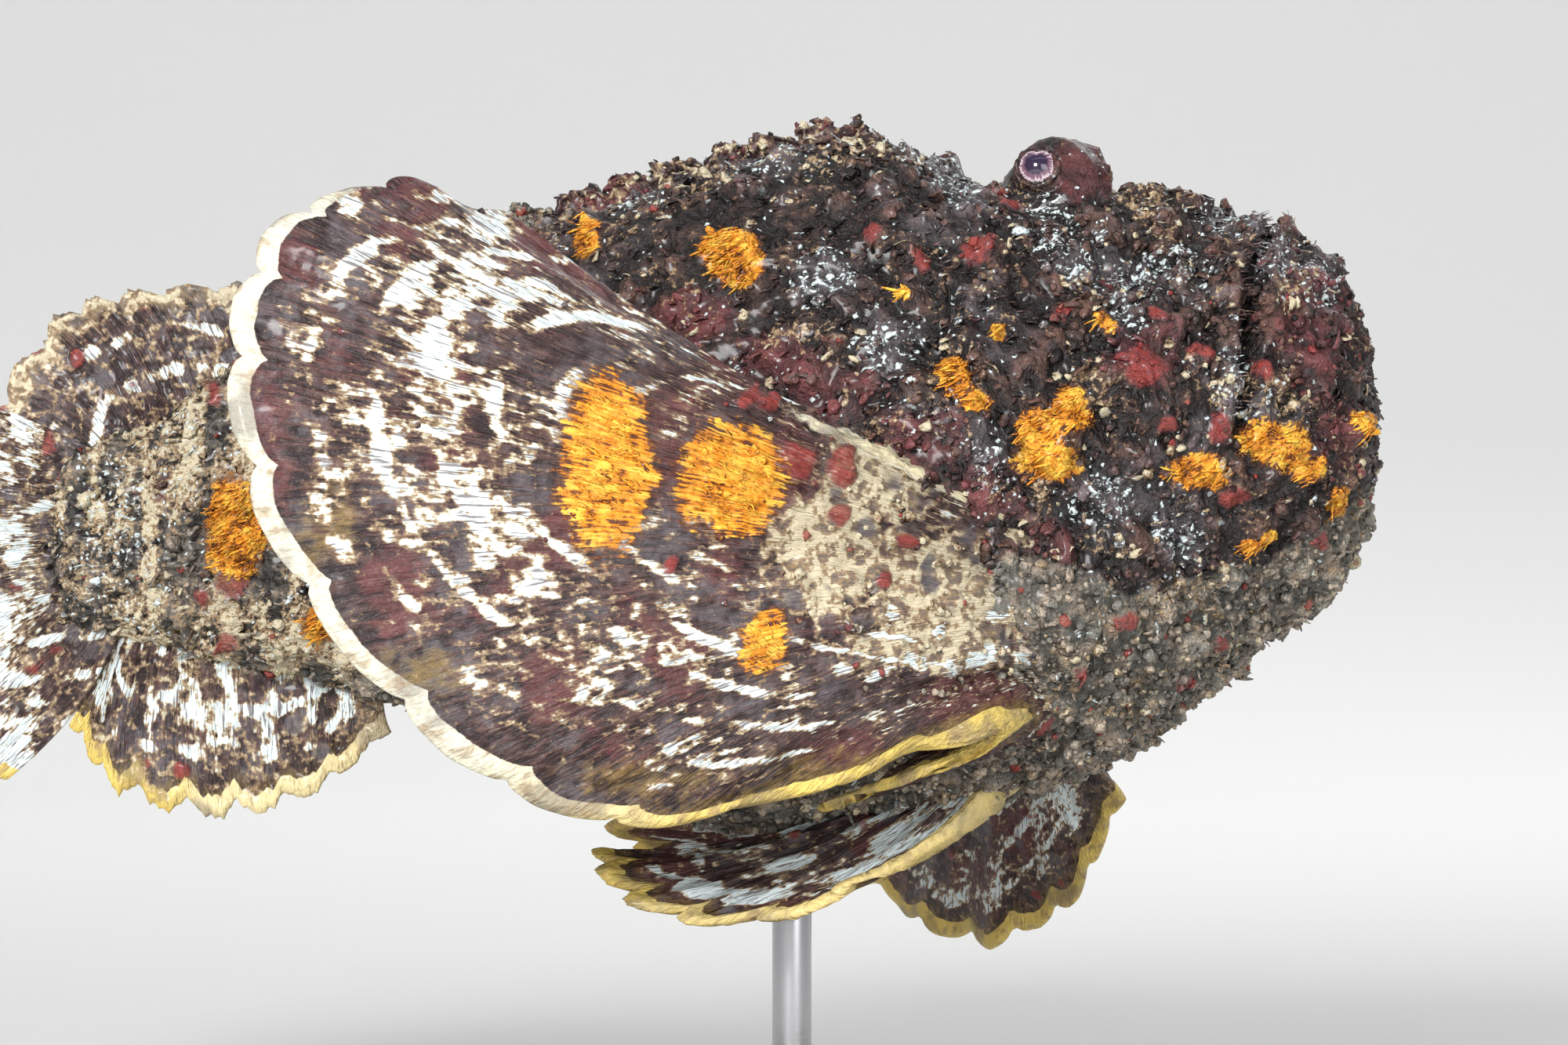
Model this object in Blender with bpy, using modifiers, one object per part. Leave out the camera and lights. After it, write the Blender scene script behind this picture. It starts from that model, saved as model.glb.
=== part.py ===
"""A life-size stonefish, swimming, held by one rod on a plain display base.

Run with: blender --background --python part.py

The fish faces +X, its left side is +Y and +Z is up. The origin is the middle of the
base's underside. Shapes are worked out in millimetres in the fish's own axes, whose
zero is on the rod at the height of the fish's midline, and made in metres.
"""

import math
import random

import bmesh
import bpy
from mathutils import Matrix, Vector, noise

MM = 0.001
GAP = 0.3
FISH_HEIGHT = 125.0

# The body from the tail's end to the chin: x, top, bottom and half width at that x, and
# the share of the height at which the section is widest.
BODY_STATIONS = (
    (-135.0, 8.0, -24.0, 4.2, 0.50),
    (-118.0, 13.0, -25.0, 8.0, 0.50),
    (-99.0, 24.0, -28.5, 13.0, 0.50),
    (-71.0, 38.0, -35.0, 21.0, 0.48),
    (-43.0, 48.0, -47.0, 30.0, 0.46),
    (-15.0, 57.0, -56.0, 38.0, 0.44),
    (8.0, 62.0, -57.0, 43.5, 0.42),
    (22.0, 60.5, -55.5, 45.5, 0.42),
    (36.0, 55.5, -52.5, 46.0, 0.42),
    (54.0, 53.5, -46.0, 43.0, 0.44),
    (69.0, 52.5, -36.5, 39.0, 0.46),
    (84.0, 48.0, -23.0, 33.5, 0.48),
)
TAIL_END = -132.0
CHIN_END = 103.0
TAIL_CAP = 7.0
CHIN_CAP = 20.0
CHIN_LEVEL = 13.0
SECTION_POWER = 2.3
BODY_RINGS = 36
BODY_SIDES = 40

# Swellings and hollows of the flesh, alike on both sides: place, reach and height.
BODY_LUMPS = {
    "brow": ((66.0, 14.0, 52.0), 9.0, 2.5),
    "eye mound": ((47.0, 16.0, 52.0), 11.0, 2.5),
    "saddle behind the eye": ((33.0, 14.0, 57.0), 8.0, -3.5),
    "pit between the eyes": ((48.0, 0.0, 54.0), 10.0, -6.0),
    "pit below the eye": ((56.0, 33.0, 38.0), 7.0, -4.0),
    "cheek": ((62.0, 40.0, 22.0), 13.0, 3.5),
    "jaw corner": ((82.0, 34.0, 4.0), 9.0, 2.5),
    "gill cover": ((32.0, 45.0, 12.0), 15.0, 3.0),
    "fin base": ((47.0, 43.0, -20.0), 14.0, 4.5),
    "nape": ((6.0, 14.0, 60.0), 12.0, 2.0),
}
RELIEF_HEIGHT = 1.3
RELIEF_SIZE = 15.0

WART_COUNT = 150
WART_SPACING = 7.5
WART_SEED = 11
WART_RADII = (2.1, 3.6)
WART_EDGE_SHARE = 0.75
WART_HEIGHT_SHARE = 1.15
WART_SHORTEST_EDGE = 1.8

# Where no wart stands on either side, so that fins and eyes meet smooth flesh: place, reach.
WART_FREE_ZONES = (
    ((50.0, 42.0, -20.0), 20.0),
    ((24.0, 46.0, -18.0), 27.0),
    ((12.0, 44.0, 4.0), 18.0),
    ((46.5, 16.0, 54.0), 13.0),
)
BACK_FIN_HALF_WIDTH = 9.0
BACK_FIN_START_X = 26.0
UNDER_FINS_START_X = -62.0
TAIL_FIN_START_X = -112.0
CHIN_TIP_X = 99.0
PELVIC_ZONE = (-12.0, 50.0, 30.0, 12.0)
SNOUT_ZONE = (56.0, 20.0, 42.0)

# The line of the mouth and the cuts that part the body, as x and z.
MOUTH_LINE = ((76.0, 10.0), (77.2, 22.0), (78.6, 34.0), (81.0, 43.0), (86.5, 49.5))
JAW_CUT = ((70.0, -70.0), (71.5, -25.0), (74.0, -5.0)) + MOUTH_LINE + ((97.0, 66.0),)
HEAD_CUT = (
    (34.0, -75.0), (38.0, -50.0), (50.0, -40.0), (61.0, -26.0), (62.0, -14.0),
    (52.0, -3.0), (38.0, 8.0), (29.0, 24.0), (25.5, 42.0), (25.0, 85.0),
)
TAIL_CUT = ((-74.0, -75.0), (-70.0, 80.0))
CUT_HALF_WIDTH = 90.0

LIP_RADIUS = 2.1
LIP_SET = 1.9
LIP_STEPS = 11
LIP_END_SHARE = 0.55
NOSTRIL_PLACES = ((63.0, 15.0), (72.0, 14.0))
NOSTRIL_RADII = (1.95, 1.5)
NOSTRIL_HEIGHT = 2.2
NOSTRIL_LEAN = (0.35, 0.35, 1.0)

TURRET_CENTRE = (46.5, 16.0, 54.0)
TURRET_RADII = (8.6, 8.0, 9.6)
EYE_RADIUS = 4.5
EYE_PLACE = (43.2, 19.8, 57.3)
EYE_OUTWARD = (-0.22, 0.92, 0.32)
EYE_RIM_RADIUS = 3.9
EYE_RIM_THICKNESS = 1.0

# Each fin's key rays, as root, middle and tip. Rays between them are interpolated.
RIGHT_PECTORAL = (
    ((52.0, -34.0, -10.0), (1.0, -47.5, 13.5), (-50.0, -37.0, 49.5)),
    ((52.0, -34.0, -12.0), (-12.0, -53.0, 18.0), (-71.0, -48.0, 54.0)),
    ((52.0, -34.0, -14.0), (-19.0, -57.0, 15.0), (-88.0, -58.0, 43.5)),
    ((52.0, -34.0, -16.0), (-21.0, -59.0, 6.0), (-93.0, -66.0, 22.0)),
    ((51.0, -34.0, -18.5), (-18.0, -60.0, -6.0), (-85.0, -70.0, -8.0)),
    ((50.0, -34.0, -21.0), (-6.0, -60.0, -20.0), (-62.0, -68.0, -37.0)),
    ((48.0, -34.0, -24.0), (8.0, -57.0, -29.5), (-35.0, -62.0, -53.0)),
    ((46.0, -33.0, -27.0), (20.0, -52.0, -33.0), (-6.0, -55.0, -51.0)),
    ((44.0, -32.0, -30.0), (30.0, -48.5, -34.0), (19.0, -50.0, -43.0)),
    ((42.0, -30.0, -33.0), (37.0, -44.5, -36.0), (34.0, -47.5, -39.5)),
    ((41.0, -28.0, -34.0), (32.0, -41.5, -40.5), (21.0, -43.0, -46.5)),
    ((40.0, -26.0, -35.0), (24.0, -38.0, -44.0), (4.0, -40.0, -51.5)),
)
LEFT_PECTORAL = (
    ((52.0, 34.0, -10.0), (8.0, 68.0, 8.0), (-35.0, 98.0, 28.0)),
    ((52.0, 34.0, -12.5), (0.0, 76.0, 2.0), (-56.0, 112.0, 16.0)),
    ((52.0, 34.0, -15.0), (2.0, 84.0, -10.0), (-58.0, 122.0, -8.0)),
    ((52.0, 34.0, -18.0), (10.0, 86.0, -26.0), (-38.0, 126.0, -36.0)),
    ((51.0, 34.0, -21.0), (22.0, 82.0, -40.0), (-8.0, 122.0, -62.0)),
    ((50.0, 34.0, -24.0), (32.0, 74.0, -50.0), (18.0, 111.0, -80.0)),
    ((49.0, 33.0, -27.0), (40.0, 64.0, -54.0), (38.0, 92.0, -88.0)),
    ((48.0, 32.0, -30.0), (48.0, 54.0, -50.0), (55.0, 74.0, -78.0)),
    ((47.0, 31.0, -33.0), (54.0, 45.0, -44.0), (64.0, 56.0, -56.0)),
)
RIGHT_PELVIC = (
    ((41.0, -17.0, -45.0), (26.0, -25.0, -58.5), (10.0, -30.0, -65.0)),
    ((38.0, -16.0, -46.0), (18.0, -24.0, -61.0), (-2.0, -31.0, -71.0)),
    ((35.0, -15.0, -47.0), (10.0, -22.5, -62.0), (-17.0, -30.0, -72.5)),
    ((32.0, -14.0, -48.0), (3.0, -20.5, -62.0), (-28.0, -28.0, -70.0)),
    ((29.0, -13.0, -49.0), (-3.0, -18.0, -61.0), (-34.0, -24.0, -64.5)),
    ((26.0, -12.0, -50.0), (-6.0, -14.5, -60.5), (-35.0, -18.0, -60.5)),
)
LEFT_PELVIC_LIFT = 5.0
SOFT_DORSAL = (
    ((-91.0, 0.0, 20.0), (-93.5, 0.0, 31.0), (-98.5, 0.0, 39.5)),
    ((-106.0, 0.0, 13.0), (-111.0, 0.0, 27.0), (-118.0, 0.5, 38.0)),
    ((-115.0, 0.0, 10.0), (-122.0, 0.0, 23.0), (-132.0, 0.5, 33.0)),
    ((-120.0, 0.0, 8.0), (-128.0, 0.0, 17.0), (-141.0, 0.0, 25.5)),
)
ANAL = (
    ((-73.0, 0.0, -28.0), (-73.0, 0.0, -36.0), (-71.5, 0.0, -41.0)),
    ((-86.0, 0.0, -25.0), (-86.5, 0.0, -40.0), (-86.0, -0.5, -52.5)),
    ((-104.0, 0.0, -22.0), (-104.5, 0.0, -39.0), (-103.0, -0.5, -56.5)),
    ((-115.0, 0.0, -20.0), (-119.0, 0.0, -36.0), (-120.5, -0.5, -51.5)),
    ((-119.0, 0.0, -19.0), (-123.5, 0.0, -29.0), (-127.5, 0.0, -37.0)),
)
CAUDAL = (
    ((-124.0, 0.0, 3.0), (-142.0, 0.0, 10.5), (-160.0, 0.0, 19.0)),
    ((-124.0, 0.0, 0.5), (-149.0, 0.0, 7.0), (-174.0, -1.0, 14.0)),
    ((-124.0, 0.0, -4.0), (-153.0, 0.0, -2.5), (-184.0, -2.0, -1.0)),
    ((-124.0, 0.0, -8.5), (-154.0, 0.0, -12.5), (-187.0, -2.5, -17.0)),
    ((-124.0, 0.0, -13.0), (-149.0, 0.0, -23.5), (-177.0, -2.0, -35.5)),
    ((-124.0, 0.0, -17.0), (-140.0, 0.0, -33.0), (-158.0, -1.0, -51.0)),
    ((-124.0, 0.0, -19.5), (-132.5, 0.0, -33.0), (-141.0, 0.0, -49.5)),
)
SPINE_COUNT = 13
SPINE_FIRST_X = 20.0
SPINE_LAST_X = -84.0
SPINE_SWEEP = 9.0
SPINE_PROUD = ((0.0, 6.5), (0.5, 6.5), (1.0, 8.0))
SPINE_ROOT_DEPTH = 7.0
SPINE_SWAY = 0.8

# A fin's make-up: its rays, the columns between two rays and the rows along a ray, the
# half thickness at the root and of the web, the height of a ray's ridge, the depth of a
# notch in the margin as a share of the ray, and the share of the ray that is fleshy.
FIN_MAKE_UP = {
    "pectoral": (18, 3, 6, 7.5, 0.9, 0.8, 0.035, 0.35),
    "pelvic": (6, 3, 5, 4.0, 0.8, 0.7, 0.07, 0.15),
    "spiny": (SPINE_COUNT, 3, 3, 2.8, 1.5, 1.2, 0.24, 0.1),
    "soft": (7, 3, 4, 2.6, 0.7, 0.7, 0.13, 0.1),
    "anal": (9, 3, 4, 2.6, 0.7, 0.7, 0.13, 0.1),
    "caudal": (13, 3, 6, 3.4, 0.7, 0.7, 0.13, 0.1),
}
ROOT_TAPER = 2.2
MARGIN_THINNING = 0.6
ROW_SPREAD = 0.85

BASE_SIZE = (150.0, 100.0, 10.0)
BASE_CORNER = 18.0
BASE_EDGE = 1.5
ROD_RADIUS = 3.5
ROD_SINK = 12.0


def clear_scene():
    for obj in list(bpy.data.objects):
        bpy.data.objects.remove(obj, do_unlink=True)


def make_collection(name, is_helper=False):
    made = bpy.data.collections.new(name)
    bpy.context.scene.collection.children.link(made)
    made.hide_render = is_helper
    return made


def make_material(name, colour, roughness, metallic=0.0):
    made = bpy.data.materials.new(name)
    made.use_nodes = True
    surface = made.node_tree.nodes["Principled BSDF"]
    surface.inputs["Base Color"].default_value = (*colour, 1.0)
    surface.inputs["Roughness"].default_value = roughness
    surface.inputs["Metallic"].default_value = metallic
    return made


def curve_between(rows, at):
    """Values of rows, each (key, number, ...), on a smooth curve through them at key at."""
    last = len(rows) - 1
    i = 0
    while i < last - 1 and at > rows[i + 1][0]:
        i += 1
    before, start = rows[max(i - 1, 0)], rows[i]
    end, after = rows[i + 1], rows[min(i + 2, last)]
    span = end[0] - start[0]
    f = min(max((at - start[0]) / span, 0.0), 1.0)
    found = []
    for k in range(1, len(start)):
        slope_in = (end[k] - before[k]) / (end[0] - before[0])
        slope_out = (after[k] - start[k]) / (after[0] - start[0])
        found.append(
            (2 * f**3 - 3 * f**2 + 1) * start[k]
            + (f**3 - 2 * f**2 + f) * span * slope_in
            + (3 * f**2 - 2 * f**3) * end[k]
            + (f**3 - f**2) * span * slope_out
        )
    return found


def smooth_step(low, high, value):
    share = min(max((value - low) / (high - low), 0.0), 1.0)
    return share * share * (3 - 2 * share)


def rounded_end(distance, length):
    """How wide a rounded end still is at a distance into its length."""
    return math.sqrt(max(1.0 - (distance / length) ** 2, 0.0)) if distance > 0 else 1.0


def body_section(x):
    """Top, bottom, half width and widest level of the body at x, rounded off at its ends."""
    top, bottom, half, share = curve_between(BODY_STATIONS, x)
    chin = rounded_end(x - (CHIN_END - CHIN_CAP), CHIN_CAP)
    tail = rounded_end(TAIL_END + TAIL_CAP - x, TAIL_CAP)
    level = CHIN_LEVEL if chin < 1.0 else (top + bottom) / 2
    left = chin * tail
    top = level + (top - level) * left
    bottom = level + (bottom - level) * left
    return top, bottom, half * left, bottom + share * (top - bottom)


def lump_height(point):
    """How far the swellings and hollows lift the flesh at a point."""
    height = 0.0
    for place, reach, lift in BODY_LUMPS.values():
        away = Vector((point.x, abs(point.y), point.z)) - Vector(place)
        height += lift * math.exp(-away.length_squared / (reach * reach))
    return height


def body_point(x, angle):
    """A point of the body's surface: angle 0 is its left side and a quarter turn its back."""
    top, bottom, half, level = body_section(x)
    across, up = math.cos(angle), math.sin(angle)
    power = 2.0 / SECTION_POWER
    y = half * math.copysign(abs(across) ** power, across)
    rise = (top if up > 0 else bottom) - level
    point = Vector((x, y, level + rise * abs(up) ** power))
    outward = Vector((0.0, y, point.z - (top + bottom) / 2))
    if outward.length < 1e-6:
        return point
    relief = RELIEF_HEIGHT * noise.noise(point / RELIEF_SIZE)
    return point + outward.normalized() * (lump_height(point) + relief)


def add_mesh(name, bm, material, parent, collection):
    """Makes bm, in the fish's millimetres, an object in metres under parent."""
    bmesh.ops.scale(bm, verts=bm.verts, vec=(MM, MM, MM))
    bmesh.ops.recalc_face_normals(bm, faces=bm.faces)
    mesh = bpy.data.meshes.new(name)
    bm.to_mesh(mesh)
    bm.free()
    if material:
        mesh.materials.append(material)
    obj = bpy.data.objects.new(name, mesh)
    obj.parent = parent
    collection.objects.link(obj)
    return obj


def apply_boolean(obj, operation, other=None, group=None):
    """Cuts or joins obj, keeps the result as its mesh, and leaves no modifier on it."""
    cut = obj.modifiers.new("boolean", "BOOLEAN")
    cut.operation = operation
    cut.solver = "MANIFOLD"
    if group:
        cut.operand_type = "COLLECTION"
        cut.collection = group
    else:
        cut.object = other
    bpy.context.view_layer.update()
    graph = bpy.context.evaluated_depsgraph_get()
    made = bpy.data.meshes.new_from_object(obj.evaluated_get(graph))
    obj.modifiers.clear()
    obj.data = made


def islands(bm):
    """The groups of faces of bm that hang together, largest volume first."""
    left = set(bm.faces)
    found = []
    while left:
        group, edge = set(), [left.pop()]
        while edge:
            face = edge.pop()
            group.add(face)
            for side in face.edges:
                for near in side.link_faces:
                    if near in left:
                        left.discard(near)
                        edge.append(near)
        volume = 0.0
        for face in group:
            corners = [v.co for v in face.verts]
            for k in range(1, len(corners) - 1):
                volume += corners[0].dot(corners[k].cross(corners[k + 1])) / 6
        found.append((volume, group))
    return sorted(found, key=lambda item: -item[0])


def keep_largest(obj):
    """Drops all but the largest closed surface of obj."""
    bm = bmesh.new()
    bm.from_mesh(obj.data)
    for _, group in islands(bm)[1:]:
        bmesh.ops.delete(bm, geom=list(group), context="FACES")
    bm.to_mesh(obj.data)
    bm.free()


def join_to(obj, pieces):
    """Fuses pieces to obj with one union and removes them."""
    group = bpy.data.collections.new("to_join")
    bpy.context.scene.collection.children.link(group)
    for piece in pieces:
        for home in list(piece.users_collection):
            home.objects.unlink(piece)
        group.objects.link(piece)
    apply_boolean(obj, "UNION", group=group)
    for piece in pieces:
        bpy.data.objects.remove(piece, do_unlink=True)
    bpy.data.collections.remove(group)
    keep_largest(obj)


def is_wart_free(point):
    """Whether a wart at point would stand where a fin, an eye or a nostril grows."""
    top, bottom, _, _ = body_section(point.x)
    beside = Vector((point.x, abs(point.y), point.z))
    low_x, high_x, half_width, depth = PELVIC_ZONE
    snout_x, snout_half, snout_z = SNOUT_ZONE
    is_on_back = point.z > top - BACK_FIN_HALF_WIDTH and point.x < BACK_FIN_START_X
    return (
        point.x < TAIL_FIN_START_X
        or point.x > CHIN_TIP_X
        or (beside.y < BACK_FIN_HALF_WIDTH and (is_on_back or point.x < UNDER_FINS_START_X))
        or (beside.y < half_width and point.z < bottom + depth and low_x < point.x < high_x)
        or (beside.y < snout_half and point.z > snout_z and point.x > snout_x)
        or any((beside - Vector(place)).length < reach for place, reach in WART_FREE_ZONES)
    )


def add_warts(bm):
    """Raises seeded warts, spread evenly: each is a patch round a corner, drawn out to a point."""
    draw = random.Random(WART_SEED)
    order = [v for v in bm.verts if len(v.link_edges) == 4 and not is_wart_free(v.co)]
    draw.shuffle(order)
    taken = []
    for v in order:
        shortest = min(edge.calc_length() for edge in v.link_edges)
        is_crowded = any((v.co - other.co).length < WART_SPACING for other, _ in taken)
        if shortest < WART_SHORTEST_EDGE or is_crowded:
            continue
        taken.append((v, min(draw.uniform(*WART_RADII), WART_EDGE_SHARE * shortest)))
        if len(taken) == WART_COUNT:
            break
    for v, radius in taken:
        rounded = bmesh.ops.bevel(
            bm, geom=[v], offset=radius, segments=2, profile=0.5,
            affect="VERTICES", offset_type="OFFSET", material=-1,
        )
        patch = bmesh.ops.dissolve_faces(bm, faces=rounded["faces"], use_verts=True)["region"]
        bmesh.ops.poke(bm, faces=patch, offset=radius * WART_HEIGHT_SHARE)


def make_body(parent, collection):
    """The whole body with its warts as one closed form."""
    bm = bmesh.new()
    bmesh.ops.create_uvsphere(bm, u_segments=BODY_SIDES, v_segments=BODY_RINGS, radius=1.0)
    middle = (CHIN_END + TAIL_END) / 2
    reach = (CHIN_END - TAIL_END) / 2
    for v in bm.verts:
        ring, across, up = v.co.z, v.co.x, v.co.y
        v.co = body_point(middle + reach * ring, math.atan2(up, across))
    bmesh.ops.recalc_face_normals(bm, faces=bm.faces)
    bm.normal_update()
    add_warts(bm)
    bmesh.ops.triangulate(bm, faces=bm.faces)
    return add_mesh("body", bm, None, parent, collection)


def make_room(body, collection):
    """The body swollen by the gap, which is taken out of what grows from the body."""
    bm = bmesh.new()
    bm.from_mesh(body.data)
    bm.normal_update()
    for v, normal in [(v, v.normal.copy()) for v in bm.verts]:
        v.co += normal * (GAP + 0.1) * MM
    mesh = bpy.data.meshes.new("room_for_body")
    bm.to_mesh(mesh)
    bm.free()
    room = bpy.data.objects.new("room_for_body", mesh)
    room.parent = body.parent
    room.display_type = "WIRE"
    room.hide_render = True
    collection.objects.link(room)
    return room


def make_ribbon(name, line, parent, collection):
    """A thin upright sheet along a line of x and z, as wide as the fish, that parts the body."""
    bm = bmesh.new()
    bmesh.ops.create_grid(bm, x_segments=len(line) - 1, y_segments=1, size=1.0)
    columns = sorted({round(v.co.x, 5) for v in bm.verts})
    for v in bm.verts:
        x, z = line[columns.index(round(v.co.x, 5))]
        v.co = Vector((x, CUT_HALF_WIDTH * v.co.y, z))
    made = add_mesh(name, bm, None, parent, collection)
    thickness = made.modifiers.new("thickness", "SOLIDIFY")
    thickness.thickness = GAP * MM
    thickness.offset = 0.0
    thickness.use_even_offset = True
    made.display_type = "WIRE"
    made.hide_render = True
    return made


def part_body(body, ribbons, names, material):
    """Cuts the body with the ribbons and makes each piece its own object, tail first."""
    for ribbon in ribbons:
        apply_boolean(body, "DIFFERENCE", other=ribbon)
    bm = bmesh.new()
    bm.from_mesh(body.data)
    groups = [group for _, group in islands(bm)[: len(names)]]
    groups.sort(key=lambda group: sum(f.calc_center_median().x for f in group) / len(group))
    for name, group in zip(names, groups):
        piece = bm.copy()
        piece.faces.ensure_lookup_table()
        keep = {f.index for f in group}
        drop = [f for f in piece.faces if f.index not in keep]
        bmesh.ops.delete(piece, geom=drop, context="FACES")
        mesh = bpy.data.meshes.new(name)
        piece.to_mesh(mesh)
        piece.free()
        mesh.materials.clear()
        mesh.materials.append(material)
        obj = bpy.data.objects.new(name, mesh)
        obj.parent = body.parent
        body.users_collection[0].objects.link(obj)
    bm.free()
    bpy.data.objects.remove(body, do_unlink=True)


def turned_to(direction):
    """The turn that points +Z along direction."""
    return Vector(direction).to_track_quat("Z", "Y").to_matrix().to_4x4()


def on_side(place, side):
    """A left side's place or direction, mirrored for side -1."""
    return Vector((place[0], side * place[1], place[2]))


def make_turret(side, parent, collection):
    """The raised knob of flesh that carries one eye."""
    bm = bmesh.new()
    bmesh.ops.create_uvsphere(bm, u_segments=14, v_segments=9, radius=1.0)
    bmesh.ops.scale(bm, verts=bm.verts, vec=TURRET_RADII)
    bmesh.ops.translate(bm, verts=bm.verts, vec=on_side(TURRET_CENTRE, side))
    return add_mesh("turret", bm, None, parent, collection)


def make_eye_rim(side, parent, collection):
    """The ring of skin round one eye."""
    bm = bmesh.new()
    ring = bmesh.ops.create_circle(bm, segments=5, radius=EYE_RIM_THICKNESS)["verts"]
    bmesh.ops.rotate(bm, verts=ring, matrix=Matrix.Rotation(math.pi / 2, 3, "X"))
    bmesh.ops.translate(bm, verts=ring, vec=(EYE_RIM_RADIUS, 0.0, 0.0))
    bmesh.ops.spin(
        bm, geom=bm.verts[:] + bm.edges[:], axis=(0, 0, 1), cent=(0, 0, 0),
        steps=14, angle=2 * math.pi, use_merge=True,
    )
    bmesh.ops.remove_doubles(bm, verts=bm.verts, dist=0.01)
    level = math.sqrt(EYE_RADIUS**2 - EYE_RIM_RADIUS**2)
    bmesh.ops.translate(bm, verts=bm.verts, vec=(0.0, 0.0, level))
    bmesh.ops.transform(bm, verts=bm.verts, matrix=turned_to(on_side(EYE_OUTWARD, side)))
    bmesh.ops.translate(bm, verts=bm.verts, vec=on_side(EYE_PLACE, side))
    return add_mesh("eye_rim", bm, None, parent, collection)


def make_eyeball(name, side, radius, material, parent, collection):
    bm = bmesh.new()
    bmesh.ops.create_uvsphere(bm, u_segments=16, v_segments=10, radius=radius)
    bmesh.ops.transform(bm, verts=bm.verts, matrix=turned_to(on_side(EYE_OUTWARD, side)))
    bmesh.ops.translate(bm, verts=bm.verts, vec=on_side(EYE_PLACE, side))
    return add_mesh(name, bm, material, parent, collection)


def make_nostril(x, y, side, parent, collection):
    """A short tube of skin with a pit in it, on the snout at x and y."""
    bm = bmesh.new()
    wide, narrow = NOSTRIL_RADII
    bmesh.ops.create_cone(
        bm, cap_ends=True, segments=8, radius1=wide, radius2=narrow, depth=2 * NOSTRIL_HEIGHT
    )
    bm.faces.ensure_lookup_table()
    mouth = max(bm.faces, key=lambda face: face.calc_center_median().z)
    bmesh.ops.inset_individual(bm, faces=[mouth], thickness=0.4 * narrow, depth=0.0)
    bmesh.ops.translate(bm, verts=mouth.verts, vec=(0.0, 0.0, -0.5 * NOSTRIL_HEIGHT))
    angle = math.acos(min(1.0, y / body_section(x)[2]) ** (SECTION_POWER / 2))
    bmesh.ops.transform(bm, verts=bm.verts, matrix=turned_to(on_side(NOSTRIL_LEAN, side)))
    bmesh.ops.translate(bm, verts=bm.verts, vec=on_side(body_point(x, angle), side))
    return add_mesh("nostril", bm, None, parent, collection)


def mouth_x(z):
    """The mouth's x at a height, no lower than its corner and no higher than its middle."""
    rows = [(height, x) for x, height in MOUTH_LINE]
    return curve_between(rows, min(max(z, rows[0][0]), rows[-1][0]))[0]


def lip_path(shift):
    """The line of one lip, from the right corner of the mouth over the top to the left."""
    half = []
    for k in range(LIP_STEPS):
        angle = math.radians(90.0) * k / (LIP_STEPS - 1)
        point = body_point(mouth_x(0.0) + shift, angle)
        for _ in range(12):
            point = body_point(mouth_x(point.z) + shift, angle)
        half.append(point)
    return [on_side(point, -1) for point in half] + half[-2::-1]


def make_lip(shift, parent, collection):
    """A fleshy lip: a tube laid along one side of the mouth's line."""
    curve = bpy.data.curves.new("lip", "CURVE")
    curve.dimensions = "3D"
    curve.bevel_depth = LIP_RADIUS
    curve.bevel_resolution = 1
    curve.use_fill_caps = True
    line = curve.splines.new("POLY")
    path = lip_path(shift)
    line.points.add(len(path) - 1)
    for k, point in enumerate(path):
        share = math.sin(math.pi * k / (len(path) - 1))
        line.points[k].co = (*point, 1.0)
        line.points[k].radius = LIP_END_SHARE + (1 - LIP_END_SHARE) * math.sqrt(max(share, 0.0))
    helper = bpy.data.objects.new("lip_line", curve)
    collection.objects.link(helper)
    bpy.context.view_layer.update()
    graph = bpy.context.evaluated_depsgraph_get()
    bm = bmesh.new()
    bm.from_mesh(bpy.data.meshes.new_from_object(helper.evaluated_get(graph)))
    bpy.data.objects.remove(helper, do_unlink=True)
    bmesh.ops.remove_doubles(bm, verts=bm.verts, dist=0.01)
    bmesh.ops.triangulate(bm, faces=bm.faces)
    return add_mesh("lip", bm, None, parent, collection)


def ray_point(keys, u, s):
    """The point at share s of the ray at share u across a fin."""
    last = len(keys) - 1
    rows = [(k / last, *keys[k][0], *keys[k][1], *keys[k][2]) for k in range(last + 1)]
    values = curve_between(rows, u)
    root, middle, tip = Vector(values[0:3]), Vector(values[3:6]), Vector(values[6:9])
    bend = 2 * middle - (root + tip) / 2
    return (1 - s) ** 2 * root + 2 * s * (1 - s) * bend + s * s * tip


def fin_normal(keys, u, s):
    step = 0.004
    along = ray_point(keys, u, s + step) - ray_point(keys, u, s - step)
    aside = ray_point(keys, min(u + step, 1.0), s) - ray_point(keys, max(u - step, 0.0), s)
    return aside.cross(along).normalized()


def make_fin(name, keys, make_up, material, room, parent, collection):
    """A fan of rays: a closed sheet with a ridge along each ray and a lobe at its tip."""
    rays, columns, rows, root_half, web_half, ridge, notch, fleshy = make_up
    bm = bmesh.new()
    bmesh.ops.create_grid(bm, x_segments=(rays - 1) * columns, y_segments=rows, size=0.5)
    bmesh.ops.triangulate(bm, faces=bm.faces, quad_method="FIXED")
    pushed = bmesh.ops.extrude_face_region(bm, geom=bm.faces[:])["geom"]
    far_face = [item for item in pushed if isinstance(item, bmesh.types.BMVert)]
    bmesh.ops.translate(bm, verts=far_face, vec=(0.0, 0.0, 1.0))
    for v in bm.verts:
        u, out, face = v.co.x + 0.5, v.co.y + 0.5, 2 * v.co.z - 1
        wave = abs(math.cos(math.pi * u * (rays - 1)))
        s = out**ROW_SPREAD * (1 - notch * (1 - wave))
        half = web_half + (root_half - web_half) * (1 - s) ** ROOT_TAPER
        rise = smooth_step(0.4 * fleshy, fleshy + 0.1, s) * (1 - MARGIN_THINNING * out**6)
        half += ridge * wave**2 * rise
        v.co = ray_point(keys, u, s) + fin_normal(keys, u, s) * face * half
    fin = add_mesh(name, bm, material, parent, collection)
    apply_boolean(fin, "DIFFERENCE", other=room)
    keep_largest(fin)


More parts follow.
